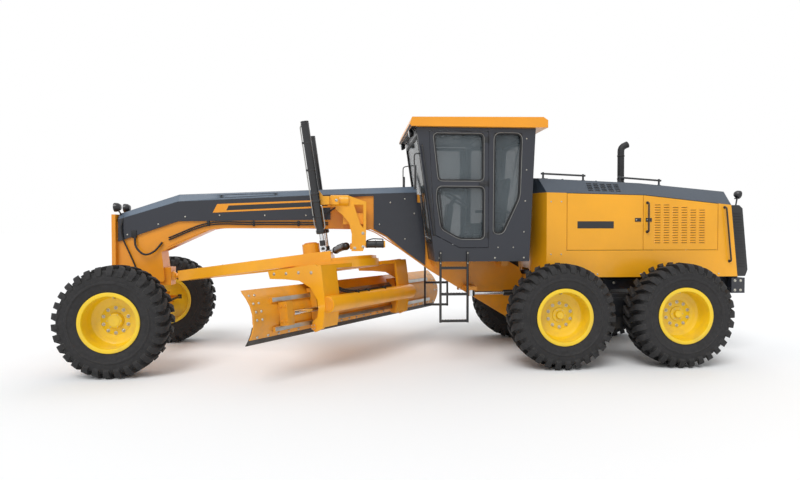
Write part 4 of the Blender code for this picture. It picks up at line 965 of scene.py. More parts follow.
def exhaust():
    """Muffler, stack and a smooth elbow in place of the CAD's straight pieces."""
    shape = Shape()
    base = Matrix.Translation((-2.90, 0, 0))
    shape.turned([(0.0, 1.981), (0.11, 1.981), (0.13, 2.0), (0.13, 2.26), (0.11, 2.28), (0.0, 2.28)], base, 48)
    path = [(-2.90, 0, 1.96), (-2.90, 0, 2.86)]
    for step in range(1, 9):
        angle = math.radians(70) * step / 8
        path.append((-2.90 - 0.085 * (1 - math.cos(angle)), 0, 2.86 + 0.085 * math.sin(angle)))
    last, before = Vector(path[-1]), Vector(path[-2])
    ahead = (last - before).normalized()
    path.append(tuple(last + ahead * 0.045))
    shape.tube(path, 0.047, 32)
    shape.rod(last + ahead * 0.026, last + ahead * 0.040, 0.0485, 32)
    for z in (2.45, 2.78):
        shape.turned([(0.046, z), (0.0515, z), (0.0515, z + 0.02), (0.046, z + 0.02)], base, 40, closed=True)
        shape.rod((-2.90, 0.048, z + 0.01), (-2.90, 0.075, z + 0.01), 0.006, 12)
    found = shape.piece("exhaust", REAR, "soot_and_shade_black", "dark_steel")
    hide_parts("exhaust_stack")
    # Dark disc in the stack's mouth: soot in the bore, and painted shade for the open bore's dark inside
    bore_soot_shade = Shape()
    bore_soot_shade.turned([(0.0, -0.02), (0.038, -0.02), (0.038, 0.001), (0.0, 0.001)], turn_to(ahead, last + ahead * 0.045), 32)
    bore_soot_shade.piece("exhaust_bore_soot_shade", REAR, "seal", "black_paint")


def grille():
    """Radiator guard: a framed housing with slats behind its rear and side openings."""
    rear_line = ((1.18, -4.432), (2.03, -4.348))

    def rear_x(z):
        share = (z - rear_line[0][0]) / (rear_line[1][0] - rear_line[0][0])
        return rear_line[0][1] + (rear_line[1][1] - rear_line[0][1]) * share

    def front_x(z):
        return -4.277 + (z - 1.0903) / (2.065 - 1.0903) * 0.102

    housing = Shape()
    low, high = 1.0906, 2.064
    for side in (1, -1):
        housing.prism(
            [
                (front_x(high), high),
                (front_x(low), low),
                (-4.398, low),
                (rear_x(1.18), 1.18),
                (rear_x(2.02), 2.02),
                (-4.30, high),
            ],
            side * 0.555,
            side * 0.5995,
            cut=0.008,
        )
    housing.prism([(front_x(low), low), (-4.398, low), (rear_x(1.18), 1.18), (front_x(1.18), 1.18)], -0.555, 0.555, cut=0.006)
    housing.prism([(front_x(1.98), 1.98), (rear_x(1.98), 1.98), (rear_x(2.03), 2.03), (-4.30, high), (front_x(high), high)], -0.555, 0.555, cut=0.006)
    housing.prism([(front_x(1.18) - 0.01, 1.17), (front_x(1.98) - 0.01, 1.99), (front_x(1.98) - 0.03, 1.99), (front_x(1.18) - 0.03, 1.17)], -0.55, 0.55)
    for y in (-0.19, 0.19):
        housing.prism([(rear_x(1.18) + 0.002, 1.17), (rear_x(1.99) + 0.002, 1.99), (rear_x(1.99) + 0.03, 1.99), (rear_x(1.18) + 0.03, 1.17)], y - 0.012, y + 0.012)
    found = housing.piece("grille_housing", REAR, "black_enamel", "black_paint")
    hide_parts("radiator_grille")
    slats = Shape()
    for row in range(24):
        z = 1.200 + row * 0.0325
        slats.prism(
            [(rear_x(z) + 0.006, z - 0.010), (rear_x(z) + 0.034, z + 0.012), (rear_x(z) + 0.036, z + 0.009), (rear_x(z) + 0.008, z - 0.013)],
            -0.556,
            0.556,
        )
    slats.piece("grille_slats", REAR, "black_enamel", "black_paint")
    fins = Shape()
    for side in (1, -1):
        for row in range(20):
            z = 1.22 + row * 0.038
            x0, x1 = front_x(z) - 0.030, rear_x(z) + 0.030
            fins.prism([(x0, z), (x1, z), (x1, z + 0.008), (x0, z + 0.012)], side * 0.5985, side * 0.6060, cut=0.0)
    fins.piece("grille_side_ribs", REAR, "soot_and_shade_black", "black_paint")
    core = Shape()
    for column in range(56):
        y = -0.53 + column * 0.0193
        x0, x1 = front_x(1.3) - 0.045, front_x(1.3) - 0.052
        core.prism([(front_x(1.18) - 0.032, 1.18), (front_x(1.98) - 0.032, 1.98), (front_x(1.98) - 0.038, 1.98), (front_x(1.18) - 0.038, 1.18)], y, y + 0.006)
    core.piece("radiator_fins", REAR, "steel", "dark_steel")


def tail():
    for name, side in SIDES:
        lamp_box = Shape()
        y = side * 0.50
        lamp_box.block((-4.374, y - 0.075, 0.90), (-4.388, y + 0.075, 1.00), 0.006)
        lamp_box.piece(f"tail_lamp_back_{name}", REAR, "black_enamel", "black_paint")
        red = Shape()
        red.block((-4.380, y - 0.065, 0.955), (-4.3895, y + 0.065, 0.993), 0.004)
        red.piece(f"tail_lamp_{name}", REAR, "red_lens", "glass")
        amber = Shape()
        amber.block((-4.380, y - 0.065, 0.907), (-4.3895, y + 0.065, 0.945), 0.004)
        amber.piece(f"turn_lamp_{name}", REAR, "amber_lens", "glass")
        # Work lamp on a stalk above the radiator guard
        stalk = Shape()
        y = side * 0.50
        stalk.tube([(-4.315, y, 2.055), (-4.325, y, 2.12), (-4.335, y, 2.165)], 0.010, 12, 0.02)
        stalk.block((-4.35, y - 0.03, 2.150), (-4.31, y + 0.03, 2.165), 0.003)
        stalk.turned(
            [(0.0, -0.035), (0.035, -0.032), (0.052, -0.01), (0.056, 0.02), (0.056, 0.034), (0.048, 0.036), (0.0, 0.036)],
            turn_to((-1, 0, -0.15), (-4.335, y, 2.215)),
            36,
        )
        stalk.piece(f"rear_work_lamp_{name}", REAR, "black_enamel", "black_paint")
        glassy = Shape()
        glassy.turned([(0.0, 0.030), (0.047, 0.030), (0.045, 0.038), (0.0, 0.043)], turn_to((-1, 0, -0.15), (-4.335, y, 2.215)), 36)
        glassy.piece(f"rear_work_lens_{name}", REAR, "clear_lens", "glass")
        # Frame side: brackets, bolts and the brake pipe along the rail
        rail = Shape()
        for x in (-1.86, -2.2, -2.6, -3.0, -3.4, -3.75):
            rail.nut((x, side * 0.46, 1.0), (0, side, 0), 0.013, 0.010)
        for x in (-4.25, -4.33):
            for z in (0.90, 1.03):
                rail.nut((x, side * 0.60, z), (0, side, 0), 0.013, 0.010)
        rail.piece(f"frame_bolts_{name}", REAR, "zinc", "polished_steel")
        pipe = Shape()
        pipe.tube(
            curved([(-1.80, side * 0.472, 1.05), (-2.2, side * 0.474, 1.045), (-3.0, side * 0.474, 1.05), (-3.7, side * 0.474, 1.04)], 8),
            0.0105,
            12,
        )
        for x in (-1.9, -2.45, -3.0, -3.6):
            pipe.block((x - 0.012, side * 0.459, 1.02), (x + 0.012, side * 0.488, 1.075), 0.004)
        pipe.piece(f"brake_pipe_{name}", REAR, "hose", "black_paint")
        # Tandem case: cover, ribs and bolts
        case = Shape()
        y = side * 0.80
        for x in (-1.625, -3.165):
            case.turned([(0.118, 0.0), (0.165, 0.0), (0.165, 0.012), (0.150, 0.018), (0.118, 0.018)], turn_to((0, side, 0), (x, y - side * 0.001, 0.655)), 48, closed=True)
            for at in range(10):
                angle = 2 * math.pi * at / 10
                case.nut((x + 0.141 * math.cos(angle), y + side * 0.015, 0.655 + 0.141 * math.sin(angle)), (0, side, 0), 0.008, 0.007, washer=False)
        case.block((-2.62, y - side * 0.002, 0.60), (-2.17, y + side * 0.010, 0.84), 0.006)
        for x in (-2.58, -2.395, -2.21):
            for z in (0.63, 0.81):
                case.nut((x, y + side * 0.010, z), (0, side, 0), 0.008, 0.007, washer=False)
        case.piece(f"tandem_cover_{name}", REAR, "black_enamel", "black_paint")
    hitch = Shape()
    hitch.block((-4.3895, -0.13, 0.93), (-4.30, -0.09, 1.0), 0.006)
    hitch.piece("tow_bracket", REAR, "black_enamel", "black_paint")


hood_details()
exhaust()
grille()
tail()

# ---- Cab ---------------------------------------------------------------------------------------------

CAB_HALF = 0.80
UPPER_WINDOW = ((-0.131, 2.362), (-0.70, 2.362), (-0.70, 2.948), (-0.065, 2.948))
LOWER_WINDOW = ((-0.106, 2.145), (-0.12, 2.272), (-0.71, 2.272), (-0.71, 1.615), (-0.403, 1.615), (-0.165, 1.743))
QUARTER_WINDOW = ((-0.854, 2.96), (-1.202, 2.96), (-1.176, 2.149), (-0.957, 1.685), (-0.846, 1.685))


def cab_front_x(z):
    return -0.085 + 0.245 * (z - 1.32) / 1.715


def cab_rear_x(z):
    return -1.31 - 0.08 * (z - 1.32) / 1.715


def rounded_loop(outline, radius, steps=5):
    """A closed outline with its corners turned into arcs."""
    found = []
    count = len(outline)
    for at in range(count):
        before, corner, after = (Vector(outline[(at + k) % count]) for k in (-1, 0, 1))
        back, ahead = before - corner, after - corner
        reach = min(radius, back.length * 0.45, ahead.length * 0.45)
        start, end = corner + back.normalized() * reach, corner + ahead.normalized() * reach
        for step in range(steps + 1):
            t = step / steps
            found.append((1 - t) ** 2 * start + 2 * t * (1 - t) * corner + t * t * end)
    return found


def offset_loop(loop, by):
    """Each point pushed square to the loop; a positive amount goes outwards."""
    count = len(loop)
    area = sum(loop[k].x * loop[(k + 1) % count].y - loop[(k + 1) % count].x * loop[k].y for k in range(count))
    turn = 1 if area > 0 else -1
    found = []
    for at in range(count):
        along = (loop[(at + 1) % count] - loop[(at - 1) % count]).normalized()
        found.append(loop[at] + Vector((along.y, -along.x)) * by * turn)
    return found


def gasket(shape, outline, y, side, radius=0.05, wide=0.022, proud=0.006, inward=0.010):
    """A rubber frame round a window: it fills the opening's corners and laps its edge."""
    outer = offset_loop(rounded_loop(outline, 0.012), wide - inward)
    inner = offset_loop(rounded_loop(outline, radius), -inward)
    middle_out = offset_loop(rounded_loop(outline, 0.02), wide * 0.3)
    profile = ((outer, -0.002), (outer, proud * 0.6), (middle_out, proud), (inner, proud * 0.4), (inner, -0.030))
    rings = []
    for loop, depth in profile:
        rings.append([Vector((point.x, y + side * depth, point.y)) for point in loop])
    shape.loft(rings, closed=True)


def cab_details():
    for name, side in SIDES:
        face = side * CAB_HALF
        door = f"cab_door_{name}_body"
        seals = Shape()
        gasket(seals, UPPER_WINDOW, face, side, 0.05)
        gasket(seals, LOWER_WINDOW, face, side, 0.06)
        seals.piece(f"door_seals_{name}", door, "seal", "black_paint")
        seal = Shape()
        gasket(seal, QUARTER_WINDOW, face, side, 0.08)
        seal.piece(f"quarter_seal_{name}", FRONT, "seal", "black_paint")
        trims = Shape()
        for outline, radius in ((UPPER_WINDOW, 0.05), (LOWER_WINDOW, 0.06)):
            loop = offset_loop(rounded_loop(outline, radius), 0.013)
            trims.tube([Vector((p.x, face + side * 0.004, p.y)) for p in [*loop, loop[0]]], 0.0028, 8)
        trims.piece(f"door_trim_{name}", door, "steel", "polished_steel")
        trim = Shape()
        loop = offset_loop(rounded_loop(QUARTER_WINDOW, 0.08), 0.013)
        trim.tube([Vector((p.x, face + side * 0.004, p.y)) for p in [*loop, loop[0]]], 0.0028, 8)
        trim.piece(f"quarter_trim_{name}", FRONT, "steel", "polished_steel")

        handle = Shape()
        handle.block((-0.655, face - side * 0.001, 2.295), (-0.735, face + side * 0.006, 2.340), 0.004)
        handle.block((-0.650, face + side * 0.018, 2.308), (-0.745, face + side * 0.027, 2.328), 0.004)
        handle.rod((-0.735, face + side * 0.003, 2.318), (-0.735, face + side * 0.022, 2.318), 0.008, 16)
        handle.piece(f"door_latch_{name}", door, "black_enamel", "black_paint")
        hinges = Shape()
        for z in (1.66, 2.32, 2.88):
            hinges.rod((-0.776, face + side * 0.008, z - 0.045), (-0.776, face + side * 0.008, z + 0.045), 0.009, 16)
            hinges.block((-0.765, face - side * 0.001, z - 0.035), (-0.715, face + side * 0.005, z + 0.035), 0.003)
            for dx in (-0.748, -0.728):
                hinges.nut((dx, face + side * 0.005, z), (0, side, 0), 0.005, 0.004, washer=False)
        hinges.piece(f"cab_hinges_{name}", door, "black_enamel", "black_paint")
        bar = Shape()
        grab(bar, [(-0.135, face - side * 0.003, 2.20), (-0.135, face + side * 0.032, 2.20), (-0.175, face + side * 0.032, 1.78), (-0.175, face - side * 0.003, 1.78)], 0.010, 0.04)
        bar.piece(f"door_grab_{name}", door, "black_enamel", "black_paint")
        # Grab rail up the front pillar and the mirror arm
        rail = Shape()
        grab(
            rail,
            [(cab_front_x(1.66) - 0.03, face - side * 0.004, 1.66), (cab_front_x(1.66) - 0.03, face + side * 0.045, 1.66), (cab_front_x(2.80) - 0.035, face + side * 0.045, 2.80), (cab_front_x(2.80) - 0.035, face - side * 0.004, 2.80)],
            0.011,
            0.05,
        )
        rail.piece(f"pillar_rail_{name}", FRONT, "black_enamel", "black_paint")
        # Bolt heads on the skirt below the door and the panel behind it
        bolts = Shape()
        for x in (-0.14, -0.50, -0.86, -1.24):
            bolts.nut((x, face, 1.365), (0, side, 0), 0.008, 0.006)
        for x, z in ((-1.27, 2.90), (-1.27, 2.50), (-1.255, 2.10), (-1.24, 1.70), (-0.90, 1.50), (-1.10, 1.50)):
            bolts.nut((x, face, z), (0, side, 0), 0.006, 0.005)
        for x in (-0.15, -0.50):
            for z in (1.30, 1.43):
                bolts.nut((x, face + side * 0.032, z), (0, side, 0), 0.006, 0.005)
        bolts.piece(f"cab_bolts_{name}", FRONT, "zinc", "polished_steel")
        # Ladder treads: plates on the rungs with a raised grip
        treads = Shape()
        y0, y1 = face + side * 0.002, face + side * 0.033
        for z in (0.556, 0.90, 1.235):
            treads.block((-0.495, y0, z + 0.010), (-0.155, y1, z + 0.020), 0.003)
            for tooth in range(9):
                x = -0.47 + tooth * 0.0365
                treads.rod((x, face + side * 0.017, z + 0.018), (x, face + side * 0.017, z + 0.024), 0.007, 12)
        treads.piece(f"ladder_treads_{name}", FRONT, "black_enamel", "black_paint")
        # Roof lamps at the front, under the eave
        lamp_body = Shape()
        y = side * 0.62
        place = turn_to((1, 0, -0.12), (0.215, y, 2.975))
        lamp_body.turned([(0.0, -0.04), (0.03, -0.038), (0.048, -0.012), (0.052, 0.012), (0.052, 0.022), (0.044, 0.024), (0.0, 0.024)], place, 32)
        lamp_body.rod((0.205, y, 3.01), (0.205, y, 3.036), 0.010, 12)
        lamp_body.piece(f"roof_lamp_{name}", FRONT, "black_enamel", "black_paint")
        lens_shape = Shape()
        lens_shape.turned([(0.0, 0.018), (0.043, 0.018), (0.041, 0.026), (0.0, 0.032)], place, 32)
        lens_shape.piece(f"roof_lens_{name}", FRONT, "clear_lens", "glass")
        # Mirror on its arm
        mirror = Shape()
        mirror.tube([(cab_front_x(2.70) + 0.0, side * 0.78, 2.70), (0.19, side * 0.83, 2.69), (0.19, side * 0.845, 2.52)], 0.008, 12, 0.04)
        mirror.block((0.165, side * 0.790, 2.24), (0.195, side * 0.895, 2.54), 0.012)
        mirror.piece(f"mirror_{name}", FRONT, "black_enamel", "black_paint")
        pane = Shape()
        pane.block((0.1625, side * 0.798, 2.25), (0.166, side * 0.887, 2.53), 0.001)
        pane.piece(f"mirror_glass_{name}", FRONT, "chrome", "polished_steel")

    # Windscreen and rear window: seals and wipers
    front_seal = Shape()
    low, high, half = 1.56, 2.93, 0.73
    loop = rounded_loop([(-half, low), (half, low), (half, high), (-half, high)], 0.06)
    rings = []
    for points, ahead in ((offset_loop(loop, 0.016), -0.002), (offset_loop(loop, 0.016), 0.004), (offset_loop(loop, 0.0), 0.006), (offset_loop(loop, -0.012), 0.001), (offset_loop(loop, -0.012), -0.018)):
        rings.append([Vector((cab_front_x(p.y) + ahead, p.x, p.y)) for p in points])
    front_seal.loft(rings, closed=True)
    front_seal.piece("windscreen_seal", FRONT, "seal", "black_paint")
    rear_seal = Shape()
    loop = rounded_loop([(-0.68, 1.62), (0.68, 1.62), (0.68, 2.93), (-0.68, 2.93)], 0.06)
    rings = []
    for points, ahead in ((offset_loop(loop, 0.016), 0.002), (offset_loop(loop, 0.016), -0.004), (offset_loop(loop, 0.0), -0.006), (offset_loop(loop, -0.012), -0.001), (offset_loop(loop, -0.012), 0.04)):
        rings.append([Vector((cab_rear_x(p.y) + ahead, p.x, p.y)) for p in points])
    rear_seal.loft(rings, closed=True)
    rear_seal.piece("rear_window_seal", FRONT, "seal", "black_paint")
    wipers = Shape()
    wipers.rod((cab_front_x(1.52) - 0.005, 0.10, 1.52), (cab_front_x(1.52) + 0.030, 0.10, 1.52), 0.016, 20)
    wipers.tube([(cab_front_x(1.52) + 0.024, 0.10, 1.52), (cab_front_x(2.0) + 0.014, 0.33, 2.0)], 0.006, 10)
    wipers.tube([(cab_front_x(1.72) + 0.004, 0.25, 1.72), (cab_front_x(2.28) + 0.004, 0.41, 2.28)], 0.006, 10)
    wipers.rod((cab_rear_x(2.88) + 0.005, 0.0, 2.99), (cab_rear_x(2.99) - 0.026, 0.0, 2.99), 0.014, 20)
    wipers.tube([(cab_rear_x(2.99) - 0.020, 0.0, 2.99), (cab_rear_x(2.6) - 0.010, -0.16, 2.60)], 0.006, 10)
    wipers.tube([(cab_rear_x(2.8) - 0.004, -0.08, 2.82), (cab_rear_x(2.35) - 0.004, -0.24, 2.35)], 0.006, 10)
    wipers.piece("wipers", FRONT, "black_enamel", "black_paint")
    # Roof: pressed panel, and painted shade: dark strips on the front face of the eave and under it
    roof = Shape()
    roof.prism([(0.10, 3.1553), (-1.35, 3.1683), (-1.35, 3.158), (0.10, 3.145)], -0.70, 0.70)
    for y in (-0.35, 0.0, 0.35):
        roof.prism([(0.05, 3.1557), (-1.30, 3.1677), (-1.28, 3.1692), (0.03, 3.1612)], y - 0.03, y + 0.03)
    roof.piece("roof_panel", FRONT, "roof_yellow", "yellow_paint")
    # Painted shade: a dark sheet over the eave's front face and a strip beneath it, standing in for the shade there
    eave_shade = Shape()
    eave_shade.prism([(0.236, 3.036), (0.246, 3.058), (0.2485, 3.058), (0.2385, 3.036)], -0.86, 0.86)
    eave_shade.prism([(0.228, 3.0352), (0.165, 3.0352), (0.165, 3.028), (0.222, 3.028)], -0.84, 0.84, cut=0.002)
    eave_shade.piece("roof_eave_shade", FRONT, "soot_and_shade_black", "black_paint")


def seat():
    """Sprung seat: a crowned cushion, a curved back with bolsters, armrests, a pan and a pedestal."""
    floor = 1.3703

    def pad(name, rows, columns, place, pieces_for=()):
        """A closed cushion from a grid: place(u, v) gives its middle, its outward way and half thickness."""
        shape = Shape()
        bm = shape.bm
        sides_of = {}
        for way in (1, -1):
            grid = []
            for i in range(rows + 1):
                line = []
                for j in range(columns + 1):
                    u, v = i / rows * 2 - 1, j / columns * 2 - 1
                    middle, outward, half = place(u, v)
                    rim = max(0.0, 1 - abs(u) ** 6) * max(0.0, 1 - abs(v) ** 6)
                    line.append(bm.verts.new(middle + outward * way * half * (0.35 + 0.65 * rim**0.5)))
                grid.append(line)
            sides_of[way] = grid
            for i in range(rows):
                for j in range(columns):
                    bm.faces.new((grid[i][j], grid[i + 1][j], grid[i + 1][j + 1], grid[i][j + 1]))
        top, low = sides_of[1], sides_of[-1]
        rim_of = lambda g: [g[0][j] for j in range(columns)] + [g[i][columns] for i in range(rows)] + [g[rows][j] for j in range(columns, 0, -1)] + [g[i][0] for i in range(rows, 0, -1)]
        one, two = rim_of(top), rim_of(low)
        for at in range(len(one)):
            after = (at + 1) % len(one)
            bm.faces.new((one[at], one[after], two[after], two[at]))
        found = shape.piece(name, FRONT, "cloth", "seat_trim", smooth=70)
        smooth = found.modifiers.new("soft", "SUBSURF")
        smooth.levels = smooth.render_levels = 1
        return found

    def cushion(u, v):
        squeeze = 1 - 0.05 * abs(u * v) ** 2 - 0.03 * (u * u + v * v) / 2
        seam = 0.010 * math.exp(-(((abs(v) - 0.62) / 0.06) ** 2)) + 0.006 * math.exp(-((u / 0.05) ** 2))
        bolster = 0.014 * max(0.0, abs(v) - 0.62) / 0.38
        middle = Vector((-0.885 + 0.255 * u * squeeze, 0.245 * v * squeeze, floor + 0.385))
        return middle, Vector((0, 0, 1)), 0.062 + bolster - seam

    def back(u, v):
        height = floor + 0.76 + 0.315 * u
        lean = -1.105 - 0.085 * (u + 1) / 2 - 0.02 * u * u
        squeeze = 1 - 0.10 * max(0.0, u) ** 2 - 0.04 * u * u
        seam = 0.008 * math.exp(-(((abs(v) - 0.60) / 0.06) ** 2))
        for line in (-0.35, 0.05, 0.45):
            seam += 0.006 * math.exp(-(((u - line) / 0.04) ** 2))
        bolster = 0.012 * max(0.0, abs(v) - 0.6) / 0.4
        middle = Vector((lean + 0.012 * v * v, 0.225 * v * squeeze, height))
        return middle, Vector((0.97, 0, 0.22)), 0.052 + bolster - seam

    main = pad("seat_cushion", 28, 26, cushion)
    pad("seat_back", 34, 26, back)
    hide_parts("operator_seat")
    frame_shape = Shape()
    frame_shape.block((-1.13, -0.235, floor + 0.295), (-0.65, 0.235, floor + 0.330), 0.012)
    frame_shape.prism([(-1.05, floor), (-0.75, floor), (-0.76, floor + 0.04), (-1.04, floor + 0.04)], -0.20, 0.20, cut=0.008)
    for fold in range(5):
        z = floor + 0.045 + fold * 0.050
        frame_shape.block((-1.03, -0.185, z), (-0.77, 0.185, z + 0.034), 0.014)
        frame_shape.block((-1.015, -0.17, z + 0.030), (-0.785, 0.17, z + 0.052), 0.004)
    for side in (1, -1):
        frame_shape.tube([(-1.19, side * 0.235, floor + 0.60), (-1.05, side * 0.25, floor + 0.62), (-0.82, side * 0.25, floor + 0.62)], 0.020, 14, 0.05)
    frame_shape.piece("seat_base", FRONT, "black_enamel", "black_paint")


cab_details()
seat()

# ---- Boom, nose and lift gear ------------------------------------------------------------------------

COVER_LINE = ((4.07, 1.57, 1.86, 1.94), (3.29, 1.84, 2.10, 2.20), (1.52, 1.86, 2.19, 2.27), (0.085, 1.88, 2.235, 2.325))


def boom_details():
    for name, side in SIDES:
        # Painted highlight: a lighter slate strip on the cover's upper chamfer, a lit copy of the navy where that face
        # turns up to the light
        slope = Shape()
        for one, two in zip(COVER_LINE, COVER_LINE[1:]):
            rings = []
            for station in (one, two):
                x, _, side_z, top_z = station
                out = Vector((0, side * 0.78, 0.62)) * 0.002
                low = Vector((x, side * 0.1745, side_z + 0.004)) + out
                high = Vector((x, side * 0.1115, top_z - 0.003)) + out
                rings.append([low, high, high - out * 1.8, low - out * 1.8])
            slope.loft(rings)
        slope.piece(f"lit_cover_chamfer_{name}", FRONT, "slate", "dark_paint")
        face = side * 0.175
        stripe = Shape()
        stripe.prism([(2.84, 1.955), (1.20, 2.035), (1.32, 2.135), (2.78, 2.072)], face - side * 0.001, face + side * 0.0022)
        stripe.piece(f"cover_stripe_{name}", FRONT, "roof_yellow", "yellow_paint")
        inner = Shape()
        inner.prism([(2.66, 1.987), (1.30, 2.053), (1.38, 2.110), (2.63, 2.052)], face + side * 0.0005, face + side * 0.0036)
        inner.piece(f"blank_stripe_{name}", FRONT, "black_enamel", "black_paint")
        # Bolts along the cover and the boom's welded edge
        bolts = Shape()
        for x, z in ((3.95, 1.66), (3.55, 1.80), (3.20, 1.90), (2.75, 1.92), (2.15, 1.92), (1.60, 1.92), (0.60, 1.80), (0.45, 2.10), (0.25, 1.60), (0.25, 2.15), (0.12, 1.95)):
            bolts.nut((x, face, z), (0, side, 0), 0.007, 0.005)
        bolts.piece(f"cover_bolts_{name}", FRONT, "zinc", "polished_steel")
        seams = Shape()
        weld = [(3.44, 0, 1.47), (2.86, 0, 1.72), (1.79, 0, 1.725), (0.73, 0, 1.709), (0.30, 0, 1.43), (-0.15, 0, 1.11)]
        seams.tube(softened([Vector((x, side * 0.1505, z + 0.03)) for x, _, z in weld], 0.15), 0.005, 8)
        seams.piece(f"boom_weld_{name}", FRONT, "frame_yellow", "orange_paint")
        # Clamp bolts on the yoke
        yoke = Shape()
        for x, z in ((1.18, 2.115), (1.31, 2.115), (0.83, 1.68), (0.83, 1.50), (0.94, 1.48)):
            yoke.nut((x, side * (0.46 if x > 1.1 else 0.37), z), (0, side, 0), 0.014, 0.012)
        yoke.piece(f"yoke_bolts_{name}", FRONT, "zinc", "polished_steel")
        caps = Shape()
        caps.turned([(0.0, 0.0), (0.060, 0.0), (0.060, 0.010), (0.045, 0.016), (0.0, 0.017)], turn_to((1, 0, 0), (1.258, side * 0.34, 2.115)), 40)
        for at in range(6):
            angle = 2 * math.pi * at / 6
            caps.nut((1.266, side * 0.34 + 0.048 * math.cos(angle), 2.115 + 0.048 * math.sin(angle)), (1, 0, 0), 0.006, 0.005, washer=False)
        caps.piece(f"yoke_cap_{name}", FRONT, "frame_yellow", "yellow_paint")
        # Head lamps on the nose
        head = Shape()
        y = side * 0.165
        place = turn_to((1, 0, -0.05), (4.085, y, 2.025))
        head.tube([(4.05, side * 0.12, 1.925), (4.05, side * 0.15, 1.955), (4.07, y, 1.985)], 0.010, 12, 0.02)
        head.turned([(0.0, -0.055), (0.035, -0.050), (0.055, -0.020), (0.060, 0.010), (0.060, 0.030), (0.052, 0.033), (0.0, 0.033)], place, 40)
        head.piece(f"head_lamp_{name}", FRONT, "black_enamel", "black_paint")
        glassy = Shape()
        glassy.turned([(0.0, 0.026), (0.051, 0.026), (0.048, 0.036), (0.0, 0.044)], place, 40)
        glassy.piece(f"head_lens_{name}", FRONT, "clear_lens", "glass")
        # Hoses from the nose down to the drawbar and back along the boom
        hose = Shape()
        hose.tube(curved([(4.0, side * 0.16, 1.90), (4.02, side * 0.20, 1.76), (4.00, side * 0.185, 1.60), (3.94, side * 0.175, 1.45), (3.86, side * 0.165, 1.25), (3.82, side * 0.155, 1.12)], 8), 0.010, 12)
        hose.tube(curved([(3.86, side * 0.165, 1.66), (3.83, side * 0.205, 1.50), (3.72, side * 0.215, 1.40), (3.60, side * 0.195, 1.44), (3.50, side * 0.172, 1.56)], 8), 0.013, 12)
        hose.block((3.83, side * 0.150, 1.62), (3.90, side * 0.185, 1.72), 0.008)
        hose.piece(f"nose_hoses_{name}", FRONT, "hose", "black_paint")
        lines = Shape()
        for drop in (0.0, 0.028):
            lines.tube(curved([(3.42, side * 0.164, 1.62 - drop), (2.90, side * 0.164, 1.815 - drop), (2.30, side * 0.164, 1.825 - drop), (1.30, side * 0.164, 1.822 - drop)], 10), 0.009, 10)
        for x in (2.9, 2.3, 1.7):
            lines.block((x - 0.015, side * 0.151, 1.775), (x + 0.015, side * 0.1745, 1.845), 0.003)
        lines.piece(f"boom_pipes_{name}", FRONT, "hose", "black_paint")
    # Nose plate: its bolts
    plate = Shape()
    for z in (1.12, 1.50, 1.86):
        for y in (-0.18, 0.18):
            plate.nut((4.1385, y, z), (1, 0, 0), 0.009, 0.0014, washer=False)
    plate.piece("nose_bolts", FRONT, "zinc", "polished_steel")


